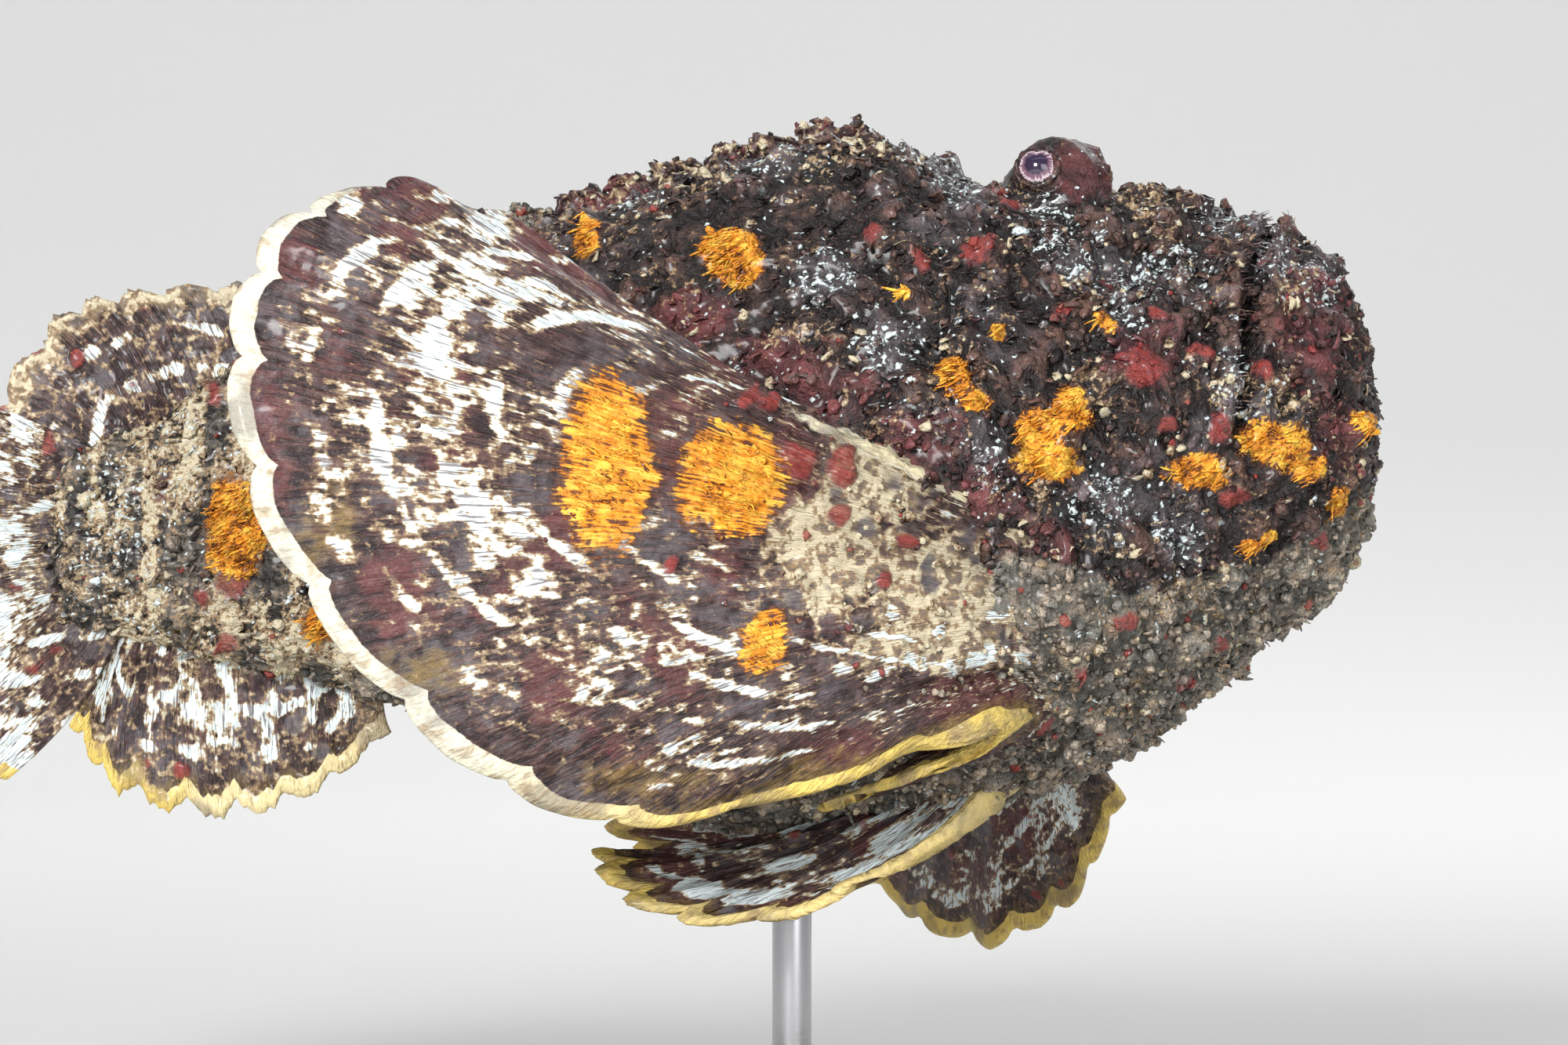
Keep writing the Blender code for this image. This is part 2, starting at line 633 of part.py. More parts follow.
def mirrored(keys, lift):
    """Key rays of the opposite side's fin, with its tips raised by lift."""
    return tuple(
        tuple((x, -y, z + lift * share) for (x, y, z), share in zip(ray, (0.0, 0.5, 1.0)))
        for ray in keys
    )


def spiny_dorsal_keys():
    """Key rays of the spiny fin, which lean back along the ridge of the back."""
    made = []
    for k in range(SPINE_COUNT):
        share = k / (SPINE_COUNT - 1)
        x = SPINE_FIRST_X + share * (SPINE_LAST_X - SPINE_FIRST_X)
        proud = curve_between(SPINE_PROUD, share)[0]
        lean = SPINE_SWEEP * (0.9 + 0.2 * math.sin(3.7 * k))
        low = body_section(x)[0] - SPINE_ROOT_DEPTH
        high = body_section(x - lean)[0] + proud
        root = (x, 0.0, low)
        middle = (x - 0.4 * lean, 0.0, low + 0.55 * (high - low))
        tip = (x - lean, SPINE_SWAY * math.sin(2.3 * k), high)
        made.append((root, middle, tip))
    return tuple(made)


def make_fins(material, room, parent, collection):
    """All eight fins, each cut to the body's surface at its root."""
    fins = {
        "pectoral_fin_right": (RIGHT_PECTORAL, "pectoral"),
        "pectoral_fin_left": (LEFT_PECTORAL, "pectoral"),
        "pelvic_fin_right": (RIGHT_PELVIC, "pelvic"),
        "pelvic_fin_left": (mirrored(RIGHT_PELVIC, LEFT_PELVIC_LIFT), "pelvic"),
        "dorsal_fin_spiny": (spiny_dorsal_keys(), "spiny"),
        "dorsal_fin_soft": (SOFT_DORSAL, "soft"),
        "anal_fin": (ANAL, "anal"),
        "caudal_fin": (CAUDAL, "caudal"),
    }
    for name, (keys, kind) in fins.items():
        make_fin(name, keys, FIN_MAKE_UP[kind], material, room, parent, collection)


def make_base(material, collection):
    """The flat base, with rounded corners and softened edges."""
    bm = bmesh.new()
    bmesh.ops.create_cube(bm, size=1.0)
    bmesh.ops.scale(bm, verts=bm.verts, vec=BASE_SIZE)
    bmesh.ops.translate(bm, verts=bm.verts, vec=(0.0, 0.0, BASE_SIZE[2] / 2))
    upright = [e for e in bm.edges if abs(e.verts[0].co.z - e.verts[1].co.z) > 1]
    bmesh.ops.bevel(
        bm, geom=upright, offset=BASE_CORNER, segments=6, profile=0.5,
        affect="EDGES", material=-1,
    )
    rim = [e for e in bm.edges if all(v.co.z > BASE_SIZE[2] - 0.01 for v in e.verts)]
    bmesh.ops.bevel(
        bm, geom=rim, offset=BASE_EDGE, segments=2, profile=0.5,
        affect="EDGES", material=-1,
    )
    return add_mesh("stand_base", bm, material, None, collection)


def make_rod(material, room, parent, collection):
    """The rod, from just over the base up to the belly, whose form it takes at its top."""
    low = BASE_SIZE[2] + GAP - FISH_HEIGHT
    high = body_section(0.0)[1] + ROD_SINK
    bm = bmesh.new()
    bmesh.ops.create_cone(
        bm, cap_ends=True, segments=24, radius1=ROD_RADIUS, radius2=ROD_RADIUS,
        depth=high - low,
    )
    bmesh.ops.translate(bm, verts=bm.verts, vec=(0.0, 0.0, (high + low) / 2))
    rod = add_mesh("stand_rod", bm, material, parent, collection)
    apply_boolean(rod, "DIFFERENCE", other=room)
    keep_largest(rod)


def main():
    clear_scene()
    fish = make_collection("stonefish")
    cutters = make_collection("cutters", is_helper=True)
    skin = make_material("warty_skin", (0.085, 0.05, 0.045), 0.6)
    fin_skin = make_material("fin_skin", (0.19, 0.13, 0.11), 0.55)
    eye_gloss = make_material("eye", (0.22, 0.13, 0.2), 0.15)
    wood = make_material("base_wood", (0.16, 0.09, 0.05), 0.45)
    steel = make_material("rod_steel", (0.62, 0.62, 0.64), 0.3, 1.0)

    axis = bpy.data.objects.new("fish_axis", None)
    axis.location = (0.0, 0.0, FISH_HEIGHT * MM)
    fish.objects.link(axis)

    body = make_body(axis, fish)
    room = make_room(body, cutters)
    knobs = [make_lip(-LIP_SET, axis, cutters), make_lip(LIP_SET, axis, cutters)]
    for side in (-1, 1):
        knobs += [make_turret(side, axis, cutters), make_eye_rim(side, axis, cutters)]
        knobs += [make_nostril(x, y, side, axis, cutters) for x, y in NOSTRIL_PLACES]
    join_to(body, knobs)
    for side, name in ((-1, "eye_right"), (1, "eye_left")):
        socket = make_eyeball("socket", side, EYE_RADIUS + GAP, None, axis, cutters)
        apply_boolean(body, "DIFFERENCE", other=socket)
        bpy.data.objects.remove(socket, do_unlink=True)
        make_eyeball(name, side, EYE_RADIUS, eye_gloss, axis, fish)
    cuts = {"jaw_cut": JAW_CUT, "head_cut": HEAD_CUT, "tail_cut": TAIL_CUT}
    ribbons = [make_ribbon(name, line, axis, cutters) for name, line in cuts.items()]
    part_body(body, ribbons, ("tail", "trunk", "head", "lower_jaw"), skin)

    make_fins(fin_skin, room, axis, fish)
    make_base(wood, fish)
    make_rod(steel, room, axis, fish)


if __name__ == "__main__":
    main()
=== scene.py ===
"""The looks of a life-size swimming stonefish and its display stand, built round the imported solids.

Shapes of the fish are worked out in millimetres in its own axes: +X towards its mouth, +Y its
left side, +Z up, with zero on the rod at the height of the fish's midline.
"""

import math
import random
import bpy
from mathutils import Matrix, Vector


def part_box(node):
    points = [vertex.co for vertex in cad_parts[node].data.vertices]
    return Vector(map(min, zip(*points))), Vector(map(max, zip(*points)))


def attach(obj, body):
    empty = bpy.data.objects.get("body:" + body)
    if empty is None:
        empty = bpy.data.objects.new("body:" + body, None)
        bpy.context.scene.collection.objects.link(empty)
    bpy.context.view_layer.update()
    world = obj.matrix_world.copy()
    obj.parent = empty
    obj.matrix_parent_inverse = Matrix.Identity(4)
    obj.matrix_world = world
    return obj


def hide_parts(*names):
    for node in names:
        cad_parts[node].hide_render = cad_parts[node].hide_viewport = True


bl_info = {
    "name": "Stonefish Model",
    "version": (1, 0, 0),
    "blender": (4, 5, 0),
    "location": "View3D > Sidebar > Stonefish",
    "description": "Builds the skin, fins, eyes, stand and studio of a stonefish display model",
    "category": "Add Mesh",
}

from functools import lru_cache

import bmesh
import bpy
import numpy as np
from bpy.props import FloatProperty, FloatVectorProperty, IntProperty, PointerProperty
from mathutils import Matrix, Vector, kdtree, noise

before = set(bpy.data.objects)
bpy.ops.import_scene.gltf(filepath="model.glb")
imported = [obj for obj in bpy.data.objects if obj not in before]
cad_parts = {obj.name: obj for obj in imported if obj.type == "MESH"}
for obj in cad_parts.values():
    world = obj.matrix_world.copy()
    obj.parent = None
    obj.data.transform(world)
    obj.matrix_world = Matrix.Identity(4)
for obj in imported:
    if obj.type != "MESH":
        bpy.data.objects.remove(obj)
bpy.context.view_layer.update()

MM = 0.001
EYE_PLACE = (43.2, 19.8, 57.3)
EYE_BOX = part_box("eye_right")
FISH_HEIGHT = (EYE_BOX[0].z + EYE_BOX[1].z) / 2 - EYE_PLACE[2] * MM
BASE_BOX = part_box("stand_base")
ROD_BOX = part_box("stand_rod")

# The body from the tail's end to the chin: x, top, bottom and half width at that x, and
# the share of the height at which the section is widest.
BODY_STATIONS = (
    (-135.0, 8.0, -24.0, 4.2, 0.50),
    (-118.0, 13.0, -25.0, 8.0, 0.50),
    (-99.0, 24.0, -28.5, 13.0, 0.50),
    (-71.0, 38.0, -35.0, 21.0, 0.48),
    (-43.0, 48.0, -47.0, 30.0, 0.46),
    (-15.0, 57.0, -56.0, 38.0, 0.44),
    (8.0, 62.0, -57.0, 43.5, 0.42),
    (22.0, 60.5, -55.5, 45.5, 0.42),
    (36.0, 55.5, -52.5, 46.0, 0.42),
    (54.0, 53.5, -46.0, 43.0, 0.44),
    (69.0, 52.5, -36.5, 39.0, 0.46),
    (84.0, 48.0, -23.0, 33.5, 0.48),
)
TAIL_END = -132.0
CHIN_END = 103.0
TAIL_CAP = 7.0
CHIN_CAP = 20.0
CHIN_LEVEL = 13.0
SECTION_POWER = 2.3

# Swellings and hollows of the flesh, alike on both sides: place, reach and height.
BODY_LUMPS = {
    "brow": ((66.0, 14.0, 52.0), 9.0, 2.5),
    "eye mound": ((47.0, 16.0, 52.0), 11.0, 2.5),
    "saddle behind the eye": ((33.0, 14.0, 57.0), 8.0, -3.5),
    "pit between the eyes": ((48.0, 0.0, 54.0), 10.0, -6.0),
    "pit below the eye": ((56.0, 33.0, 38.0), 7.0, -4.0),
    "cheek": ((62.0, 40.0, 22.0), 13.0, 3.5),
    "jaw corner": ((82.0, 34.0, 4.0), 9.0, 2.5),
    "gill cover": ((32.0, 45.0, 12.0), 15.0, 3.0),
    "fin base": ((47.0, 43.0, -20.0), 14.0, 4.5),
    "nape": ((6.0, 14.0, 60.0), 12.0, 2.0),
}
RELIEF_HEIGHT = 1.3
RELIEF_SIZE = 15.0

# The skin's mesh: its columns round the body and rings along it, and the shares of the
# rings that lie along the body. Columns are closer together over the eyes.
SKIN_COLUMNS = 372
SKIN_RINGS = 265
RING_PLACES = ((0.03, -125.0), (0.45, 25.0), (0.62, 57.0), (0.84, 83.0))
EYE_ANGLE = 0.31
EYE_ANGLE_SPREAD = 0.2
EYE_CROWDING = 1.7

# The seed of the noise that bends folds and the edges of patches, which else follows the clock.
NOISE_SEED = 11

# Warts: where none stands on either side, as place and reach, and how they are drawn.
WART_SEED = 11
WART_TRIES = 2600
WART_RADII = (1.7, 3.3)
WART_FREE_ZONES = (
    ((50.0, 42.0, -20.0), 14.0),
    ((46.5, 16.0, 54.0), 12.0),
)
BACK_FIN_HALF_WIDTH = 6.0
BACK_FIN_START_X = 24.0
UNDER_FINS_START_X = -62.0
TAIL_FIN_START_X = -114.0
CHIN_TIP_X = 100.0

# The line of the mouth, as x and z, and the fold behind the gill cover.
MOUTH_LINE = ((76.0, 10.0), (77.2, 22.0), (78.6, 34.0), (81.0, 43.0), (86.5, 49.5))
MOUTH_MIDDLE_X = 79.5
MOUTH_REACH = 9.0
LIP_SET = 3.2
LIP_HALF_WIDTH = 1.7
GROOVE_HALF_WIDTH = 1.4
GILL_LINE = ((62.0, -14.0), (52.0, -3.0), (38.0, 8.0), (29.0, 24.0), (25.5, 42.0))
NOSTRIL_PLACES = ((63.0, 15.0), (72.0, 14.0))
NOSTRIL_RADII = (1.95, 1.5)
NOSTRIL_HEIGHT = 2.2
NOSTRIL_LEAN = (0.35, 0.35, 1.0)

TURRET_CENTRE = (46.5, 16.0, 54.0)
TURRET_RADII = (8.6, 8.0, 9.6)
TURRET_ROOT_DEPTH = 7.0
TURRET_LEAN = (0.0, 0.36, 0.93)
EYE_RADIUS = 4.5
EYE_OUTWARD = (-0.22, 0.92, 0.32)
EYE_RIM_RADIUS = 3.6
EYE_RIM_THICKNESS = 0.5

# Each fin's key rays, as root, middle and tip. Rays between them are interpolated.
RIGHT_PECTORAL = (
    ((52.0, -34.0, -10.0), (1.0, -47.5, 13.5), (-50.0, -37.0, 49.5)),
    ((52.0, -34.0, -12.0), (-12.0, -53.0, 18.0), (-71.0, -48.0, 54.0)),
    ((52.0, -34.0, -14.0), (-19.0, -57.0, 15.0), (-88.0, -58.0, 43.5)),
    ((52.0, -34.0, -16.0), (-21.0, -59.0, 6.0), (-93.0, -66.0, 22.0)),
    ((51.0, -34.0, -18.5), (-18.0, -60.0, -6.0), (-85.0, -70.0, -8.0)),
    ((50.0, -34.0, -21.0), (-6.0, -60.0, -20.0), (-62.0, -68.0, -37.0)),
    ((48.0, -34.0, -24.0), (8.0, -57.0, -29.5), (-35.0, -62.0, -53.0)),
    ((46.0, -33.0, -27.0), (20.0, -52.0, -33.0), (-6.0, -55.0, -51.0)),
    ((44.0, -32.0, -30.0), (30.0, -48.5, -34.0), (19.0, -50.0, -43.0)),
    ((42.0, -30.0, -33.0), (37.0, -44.5, -36.0), (34.0, -47.5, -39.5)),
    ((41.0, -28.0, -34.0), (32.0, -41.5, -40.5), (21.0, -43.0, -46.5)),
    ((40.0, -26.0, -35.0), (24.0, -38.0, -44.0), (4.0, -40.0, -51.5)),
)
LEFT_PECTORAL = (
    ((52.0, 34.0, -10.0), (8.0, 68.0, 8.0), (-35.0, 98.0, 28.0)),
    ((52.0, 34.0, -12.5), (0.0, 76.0, 2.0), (-56.0, 112.0, 16.0)),
    ((52.0, 34.0, -15.0), (2.0, 84.0, -10.0), (-58.0, 122.0, -8.0)),
    ((52.0, 34.0, -18.0), (10.0, 86.0, -26.0), (-38.0, 126.0, -36.0)),
    ((51.0, 34.0, -21.0), (22.0, 82.0, -40.0), (-8.0, 122.0, -62.0)),
    ((50.0, 34.0, -24.0), (32.0, 74.0, -50.0), (18.0, 111.0, -80.0)),
    ((49.0, 33.0, -27.0), (40.0, 64.0, -54.0), (38.0, 92.0, -88.0)),
    ((48.0, 32.0, -30.0), (48.0, 54.0, -50.0), (55.0, 74.0, -78.0)),
    ((47.0, 31.0, -33.0), (54.0, 45.0, -44.0), (64.0, 56.0, -56.0)),
)
RIGHT_PELVIC = (
    ((41.0, -17.0, -45.0), (26.0, -25.0, -58.5), (10.0, -30.0, -65.0)),
    ((38.0, -16.0, -46.0), (18.0, -24.0, -61.0), (-2.0, -31.0, -71.0)),
    ((35.0, -15.0, -47.0), (10.0, -22.5, -62.0), (-17.0, -30.0, -72.5)),
    ((32.0, -14.0, -48.0), (3.0, -20.5, -62.0), (-28.0, -28.0, -70.0)),
    ((29.0, -13.0, -49.0), (-3.0, -18.0, -61.0), (-34.0, -24.0, -64.5)),
    ((26.0, -12.0, -50.0), (-6.0, -14.5, -60.5), (-35.0, -18.0, -60.5)),
)
LEFT_PELVIC_LIFT = 5.0
SOFT_DORSAL = (
    ((-91.0, 0.0, 20.0), (-93.5, 0.0, 31.0), (-98.5, 0.0, 39.5)),
    ((-106.0, 0.0, 13.0), (-111.0, 0.0, 27.0), (-118.0, 0.5, 38.0)),
    ((-115.0, 0.0, 10.0), (-122.0, 0.0, 23.0), (-132.0, 0.5, 33.0)),
    ((-122.0, 0.0, 1.0), (-132.0, 0.0, 8.5), (-146.0, 0.0, 13.0)),
)
ANAL = (
    ((-73.0, 0.0, -28.0), (-73.0, 0.0, -36.0), (-71.5, 0.0, -41.0)),
    ((-86.0, 0.0, -25.0), (-86.5, 0.0, -40.0), (-86.0, -0.5, -52.5)),
    ((-104.0, 0.0, -22.0), (-104.5, 0.0, -39.0), (-103.0, -0.5, -56.5)),
    ((-115.0, 0.0, -20.0), (-119.0, 0.0, -36.0), (-120.5, -0.5, -51.5)),
    ((-119.0, 0.0, -19.0), (-124.5, 0.0, -31.0), (-129.0, 0.0, -40.0)),
)
CAUDAL = (
    ((-121.0, 0.0, 8.0), (-140.0, 0.0, 16.5), (-160.0, 0.0, 25.0)),
    ((-124.0, 0.0, 0.5), (-149.0, 0.0, 7.0), (-174.0, -1.0, 14.0)),
    ((-124.0, 0.0, -4.0), (-153.0, 0.0, -2.5), (-184.0, -2.0, -1.0)),
    ((-124.0, 0.0, -8.5), (-154.0, 0.0, -12.5), (-187.0, -2.5, -17.0)),
    ((-124.0, 0.0, -13.0), (-149.0, 0.0, -23.5), (-177.0, -2.0, -35.5)),
    ((-124.0, 0.0, -17.0), (-140.0, 0.0, -33.0), (-158.0, -1.0, -51.0)),
    ((-119.0, 0.0, -21.0), (-127.0, 0.0, -36.0), (-140.0, 0.0, -49.5)),
)
SPINE_COUNT = 13
SPINE_FIRST_X = 20.0
SPINE_LAST_X = -84.0
SPINE_SWEEP = 9.0
SPINE_PROUD = ((0.0, 6.5), (0.5, 6.5), (1.0, 8.0))
SPINE_ROOT_DEPTH = 7.0
SPINE_SWAY = 0.8

# A fin's make-up: its rays, the columns between two rays and the rows along a ray, the
# half thickness at the root and of the web, the depth of a notch in the margin and the
# fleshy part as shares of the ray, the width of the pale margin and the gap between two
# white bands in millimetres, and how far the web ruffles.
FIN_MAKE_UP = {
    "pectoral": (18, 16, 156, 7.5, 0.55, 0.02, 0.35, 4.2, 10.8, 0.9),
    "far pectoral": (18, 11, 110, 7.5, 0.55, 0.05, 0.35, 4.6, 11.0, 1.2),
    "pelvic": (6, 18, 90, 4.0, 0.5, 0.08, 0.15, 4.2, 8.5, 0.5),
    "spiny": (SPINE_COUNT, 16, 44, 2.8, 0.8, 0.24, 0.1, 1.6, 7.0, 0.3),
    "soft": (7, 16, 70, 2.6, 0.45, 0.09, 0.1, 2.6, 8.0, 0.5),
    "anal": (9, 16, 80, 2.6, 0.45, 0.1, 0.1, 3.6, 8.5, 0.5),
    "caudal": (13, 14, 110, 3.4, 0.45, 0.07, 0.1, 3.4, 11.0, 0.6),
}
ROOT_TAPER = 2.2
MARGIN_SHARE = 0.03

# Markings in side view, as x, z and the two half axes, alike on both sides but for a seeded
# warp. Those of the right pectoral fin lie on the fin itself.
ORANGE_PATCHES = (
    (27.1, 20.6, 2.6, 3.4), (31.0, 16.6, 3.2, 2.0), (46.2, 15.2, 3.9, 3.2), (40.3, 12.2, 3.0, 2.8),
    (43.2, 6.5, 5.6, 3.2), (68.8, 5.3, 5.4, 3.2), (82.2, 9.6, 6.0, 4.4), (88.0, 6.0, 2.6, 2.6),
    (93.6, 0.1, 1.9, 2.0), (97.6, 14.0, 2.2, 2.2), (80.8, -5.4, 2.2, 1.8), (78.0, -7.8, 1.8, 1.5),
    (-10.1, 42.0, 5.0, 4.6), (-8.0, 39.0, 3.0, 2.6), (-35.2, 45.3, 2.6, 3.4), (18.6, 34.0, 1.2, 1.6),
    (34.6, 28.4, 1.3, 1.8), (53.4, 30.0, 1.6, 1.5), (-97.3, -4.4, 5.5, 8.3), (-82.0, -20.9, 2.8, 4.0),
    (-52.0, 11.0, 6.5, 8.0), (-20.0, 2.0, 7.0, 6.0),
)
RED_PATCHES = (
    (31.0, 41.8, 3.2, 2.4), (38.0, 50.4, 2.0, 2.0), (36.5, 53.5, 1.8, 1.7), (59.1, 22.6, 4.4, 4.2),
    (63.8, 13.3, 2.2, 2.2), (71.8, 12.6, 2.5, 3.6), (69.0, 25.0, 2.5, 2.2), (53.8, 37.2, 2.4, 2.0),
    (-101.5, 18.7, 2.2, 2.2), (-98.0, -13.7, 3.6, 4.4), (-103.5, -16.4, 2.4, 2.8),
    (-99.4, -24.0, 2.6, 2.6), (73.4, -23.5, 1.9, 1.7), (67.0, -30.0, 1.9, 1.6), (43.0, -37.6, 2.2, 1.6),
    (74.5, 1.0, 3.2, 2.2), (90.0, -7.0, 2.2, 2.2), (56.0, -20.0, 2.2, 2.0), (48.0, -29.0, 1.8, 1.6),
    (-60.0, 24.0, 3.0, 2.6), (-74.0, 10.0, 2.8, 3.2), (4.0, -18.0, 3.0, 2.6), (14.0, 46.0, 2.4, 2.0),
    (22.0, 40.0, 1.8, 1.8), (62.0, 30.0, 1.6, 1.6), (80.0, 22.0, 2.0, 2.0), (46.0, 32.0, 1.8, 1.6),
)
MAROON_PATCHES = (
    (-17.0, 31.0, 9.0, 6.0), (-3.0, 24.0, 9.0, 6.0), (8.0, 18.0, 8.0, 6.0), (22.0, 10.0, 8.0, 6.0),
    (33.0, 2.0, 8.0, 6.0), (43.0, -6.6, 7.0, 4.5), (89.0, 30.0, 8.0, 12.0), (-66.0, 0.0, 8.0, 9.0),
    (-110.0, 2.0, 7.0, 6.0), (60.0, 24.0, 8.0, 6.5), (49.0, 58.0, 9.0, 7.0), (94.0, 12.0, 6.0, 7.0),
)
WHITE_PATCHES = (
    (43.8, 49.6, 5.6, 4.0), (44.5, 44.0, 4.6, 4.0), (50.0, 40.8, 4.2, 5.4), (60.0, 36.6, 5.4, 4.0),
    (57.6, 31.6, 4.0, 4.4), (75.6, 48.4, 6.5, 3.4), (84.0, 41.5, 3.4, 5.6), (91.7, 38.0, 3.2, 5.4),
    (74.8, 20.5, 3.0, 7.0), (79.8, 14.5, 3.0, 3.6), (29.1, 55.0, 4.6, 5.6), (22.2, 61.0, 5.4, 4.6),
    (33.0, 6.8, 4.0, 5.4), (65.7, -6.5, 4.6, 6.0), (53.2, 0.4, 5.4, 5.4), (-30.0, 54.0, 10.0, 4.0),
    (-4.0, 60.0, 7.0, 4.0), (-60.0, 36.0, 8.0, 5.0), (-88.0, 8.0, 8.0, 8.0), (-120.0, -4.0, 7.0, 14.0),
    (6.0, 38.0, 7.0, 5.0), (16.0, 26.0, 6.0, 5.0), (66.0, 40.0, 6.0, 5.0),
)
FIN_ORANGE_PATCHES = (
    (-30.6, 6.4, 7.4, 14.6), (-10.5, 3.2, 8.8, 9.0), (-4.6, -23.5, 4.0, 5.2),
)
FIN_RED_PATCHES = (
    (-4.0, 15.7, 2.4, 2.4), (0.4, 6.5, 3.2, 3.6), (7.8, 5.2, 3.0, 3.2), (7.1, -2.7, 2.2, 1.8),
    (-8.0, 17.0, 2.0, 2.0), (14.0, -13.0, 2.0, 1.8), (34.0, -12.5, 2.6, 1.6), (18.0, -7.0, 1.8, 1.8),
    (36.0, -2.5, 3.6, 1.6), (-20.0, -11.0, 1.6, 1.8), (22.0, 3.0, 1.8, 1.6),
)
FIN_WHITE_PATCHES = (
    (-50.5, 47.0, 6.0, 5.2), (-52.0, 39.0, 5.0, 4.0), (-74.0, 51.0, 3.4, 3.4), (-62.0, 36.0, 4.4, 6.0),
    (8.0, -27.5, 2.4, 1.8), (14.0, -29.0, 2.8, 1.6), (20.0, -27.0, 2.6, 2.2), (26.0, -28.0, 2.4, 1.8),
    (31.0, -26.0, 2.8, 2.0), (37.0, -25.5, 2.4, 2.0), (24.0, -22.0, 2.0, 2.0), (33.0, -20.0, 2.2, 1.8),
    (16.0, -19.0, 1.8, 2.2), (41.0, -19.5, 2.0, 1.6),
)
FIN_CREAM_PATCHES = (
    (27.0, -15.0, 19.0, 10.0), (22.0, -24.5, 16.0, 4.5), (14.0, 4.0, 10.0, 9.0), (40.0, -9.0, 10.0, 7.0),
    (6.0, -8.0, 12.0, 12.0),
)
FIN_OLIVE_PATCHES = (
    (-76.0, -3.0, 5.0, 8.0), (-60.0, -28.0, 9.0, 4.0), (-24.0, -46.0, 14.0, 3.4),
    (-80.0, -10.0, 4.0, 5.0),
    (6.0, -44.0, 14.0, 3.0),
)
PATCH_SOFTNESS = 1.5
PATCH_WARP = 1.6
PATCH_WARP_SIZE = 5.0

# The upper edge of the pale belly, as x and z.
BELLY_LINE = (
    (-135.0, -30.0), (-70.0, -27.0), (0.0, -20.0), (42.0, -9.0), (57.0, -16.0), (82.0, -10.0),
    (103.0, 4.0),
)
# The last mark holds painted light and shade by relief, with some random tone for each growth.
MARK_NAMES = ("orange", "red", "maroon", "white", "cream", "pale", "olive", "rim", "raised")

GROWTH_SEED = 29
OFBAKE_PATCH = 0.003
BASE_CORNER = 18.0
COLLAR_RADIUS = 8.0
COLLAR_HEIGHT = 5.0

# The photograph's view: 0.14 mm of the fish's mid-plane for each of its 2000 picture widths.
PICTURE_WIDTH = 2000
PICTURE_SCALE = 0.14
VIEW_DISTANCE = 800.0
VIEW_CENTRE = (-1.4, -3.6)
SENSOR = 36.0


def colour_property(name, description, default):
    return FloatVectorProperty(
        name=name, description=description, default=default, size=3, min=0.0, max=1.0, subtype="COLOR"
    )


def length_property(name, description, default):
    """A length given in millimetres and shown in the scene's unit."""
    return FloatProperty(
        name=name, description=description, default=default * MM, min=0.0, precision=5,
        subtype="DISTANCE", unit="LENGTH",
    )


class StonefishSkinSettings(bpy.types.PropertyGroup):
    fold_height: length_property("Folds", "Height of the folds of the skin", 1.5)
    pebble_height: length_property("Pebbles", "Height of the pebbled grain of the skin", 0.6)
    pebble_size: length_property("Pebble size", "Distance between two pebbles of the skin", 2.8)
    wart_spacing: length_property("Wart spacing", "Least distance between two large warts", 6.6)
    wart_height: FloatProperty(
        name="Wart height", description="Height of a large wart as a share of its radius",
        default=0.7, min=0.0, max=1.5,
    )
    lip_height: length_property("Lips", "Height of the lips over the skin", 2.0)
    groove_depth: length_property("Mouth", "Depth of the line of the mouth", 3.2)
    gill_fold: length_property("Gill fold", "Depth of the fold behind the gill cover", 1.6)
    ground: colour_property("Ground", "Darkest colour of the skin", (0.012, 0.006, 0.006))
    brown: colour_property("Brown", "Lighter mottling of the ground", (0.098, 0.050, 0.038))
    slate: colour_property("Slate", "Purple grey blotches", (0.105, 0.090, 0.100))
    maroon: colour_property("Maroon", "Dark red blotches", (0.140, 0.036, 0.038))
    red: colour_property("Red", "Red spots and knobs", (0.30, 0.036, 0.028))
    orange: colour_property("Orange", "Orange patches", (0.88, 0.30, 0.012))
    yellow: colour_property("Yellow", "Bright streaks of the orange patches", (1.0, 0.60, 0.07))
    rust: colour_property("Rust", "Dark streaks of the orange patches", (0.12, 0.032, 0.008))
    white: colour_property("White", "Bluish white specks", (0.72, 0.81, 0.82))
    cream: colour_property("Cream", "Cream mottling", (0.60, 0.52, 0.36))
    tan: colour_property("Tan", "Tan edge of the white and cream marks", (0.30, 0.20, 0.11))
    taupe: colour_property("Belly", "Pale belly and throat", (0.370, 0.295, 0.225))
    moss: colour_property("Belly shade", "Greenish shade of the belly and throat", (0.125, 0.120, 0.102))


class StonefishGrowthSettings(bpy.types.PropertyGroup):
    flake_count: IntProperty(
        name="Flakes", description="Tattered flakes of the head and body", default=10000, min=0
    )
    knob_count: IntProperty(name="Knobs", description="Small warts on the skin", default=7200, min=0)
    fur_count: IntProperty(name="Fur", description="Strands on the orange patches", default=4600, min=0)
    tag_count: IntProperty(name="Tags", description="Long skin tags", default=650, min=0)
    fringe_count: IntProperty(name="Fringe", description="Threads along the lips", default=320, min=0)
    fin_knob_count: IntProperty(
        name="Fin knobs", description="Small warts on a pectoral fin", default=560, min=0
    )
    knob_radius: length_property("Knob radius", "Radius of a middling small wart", 0.62)
    flake_length: length_property("Flake length", "Length of a middling flake", 1.2)
    tag_length: length_property("Tag length", "Length of a middling skin tag", 1.7)
    fur_length: length_property("Fur length", "Length of a strand on the body's orange patches", 1.8)
    fringe_length: length_property("Fringe length", "Length of the threads on the lips", 1.5)


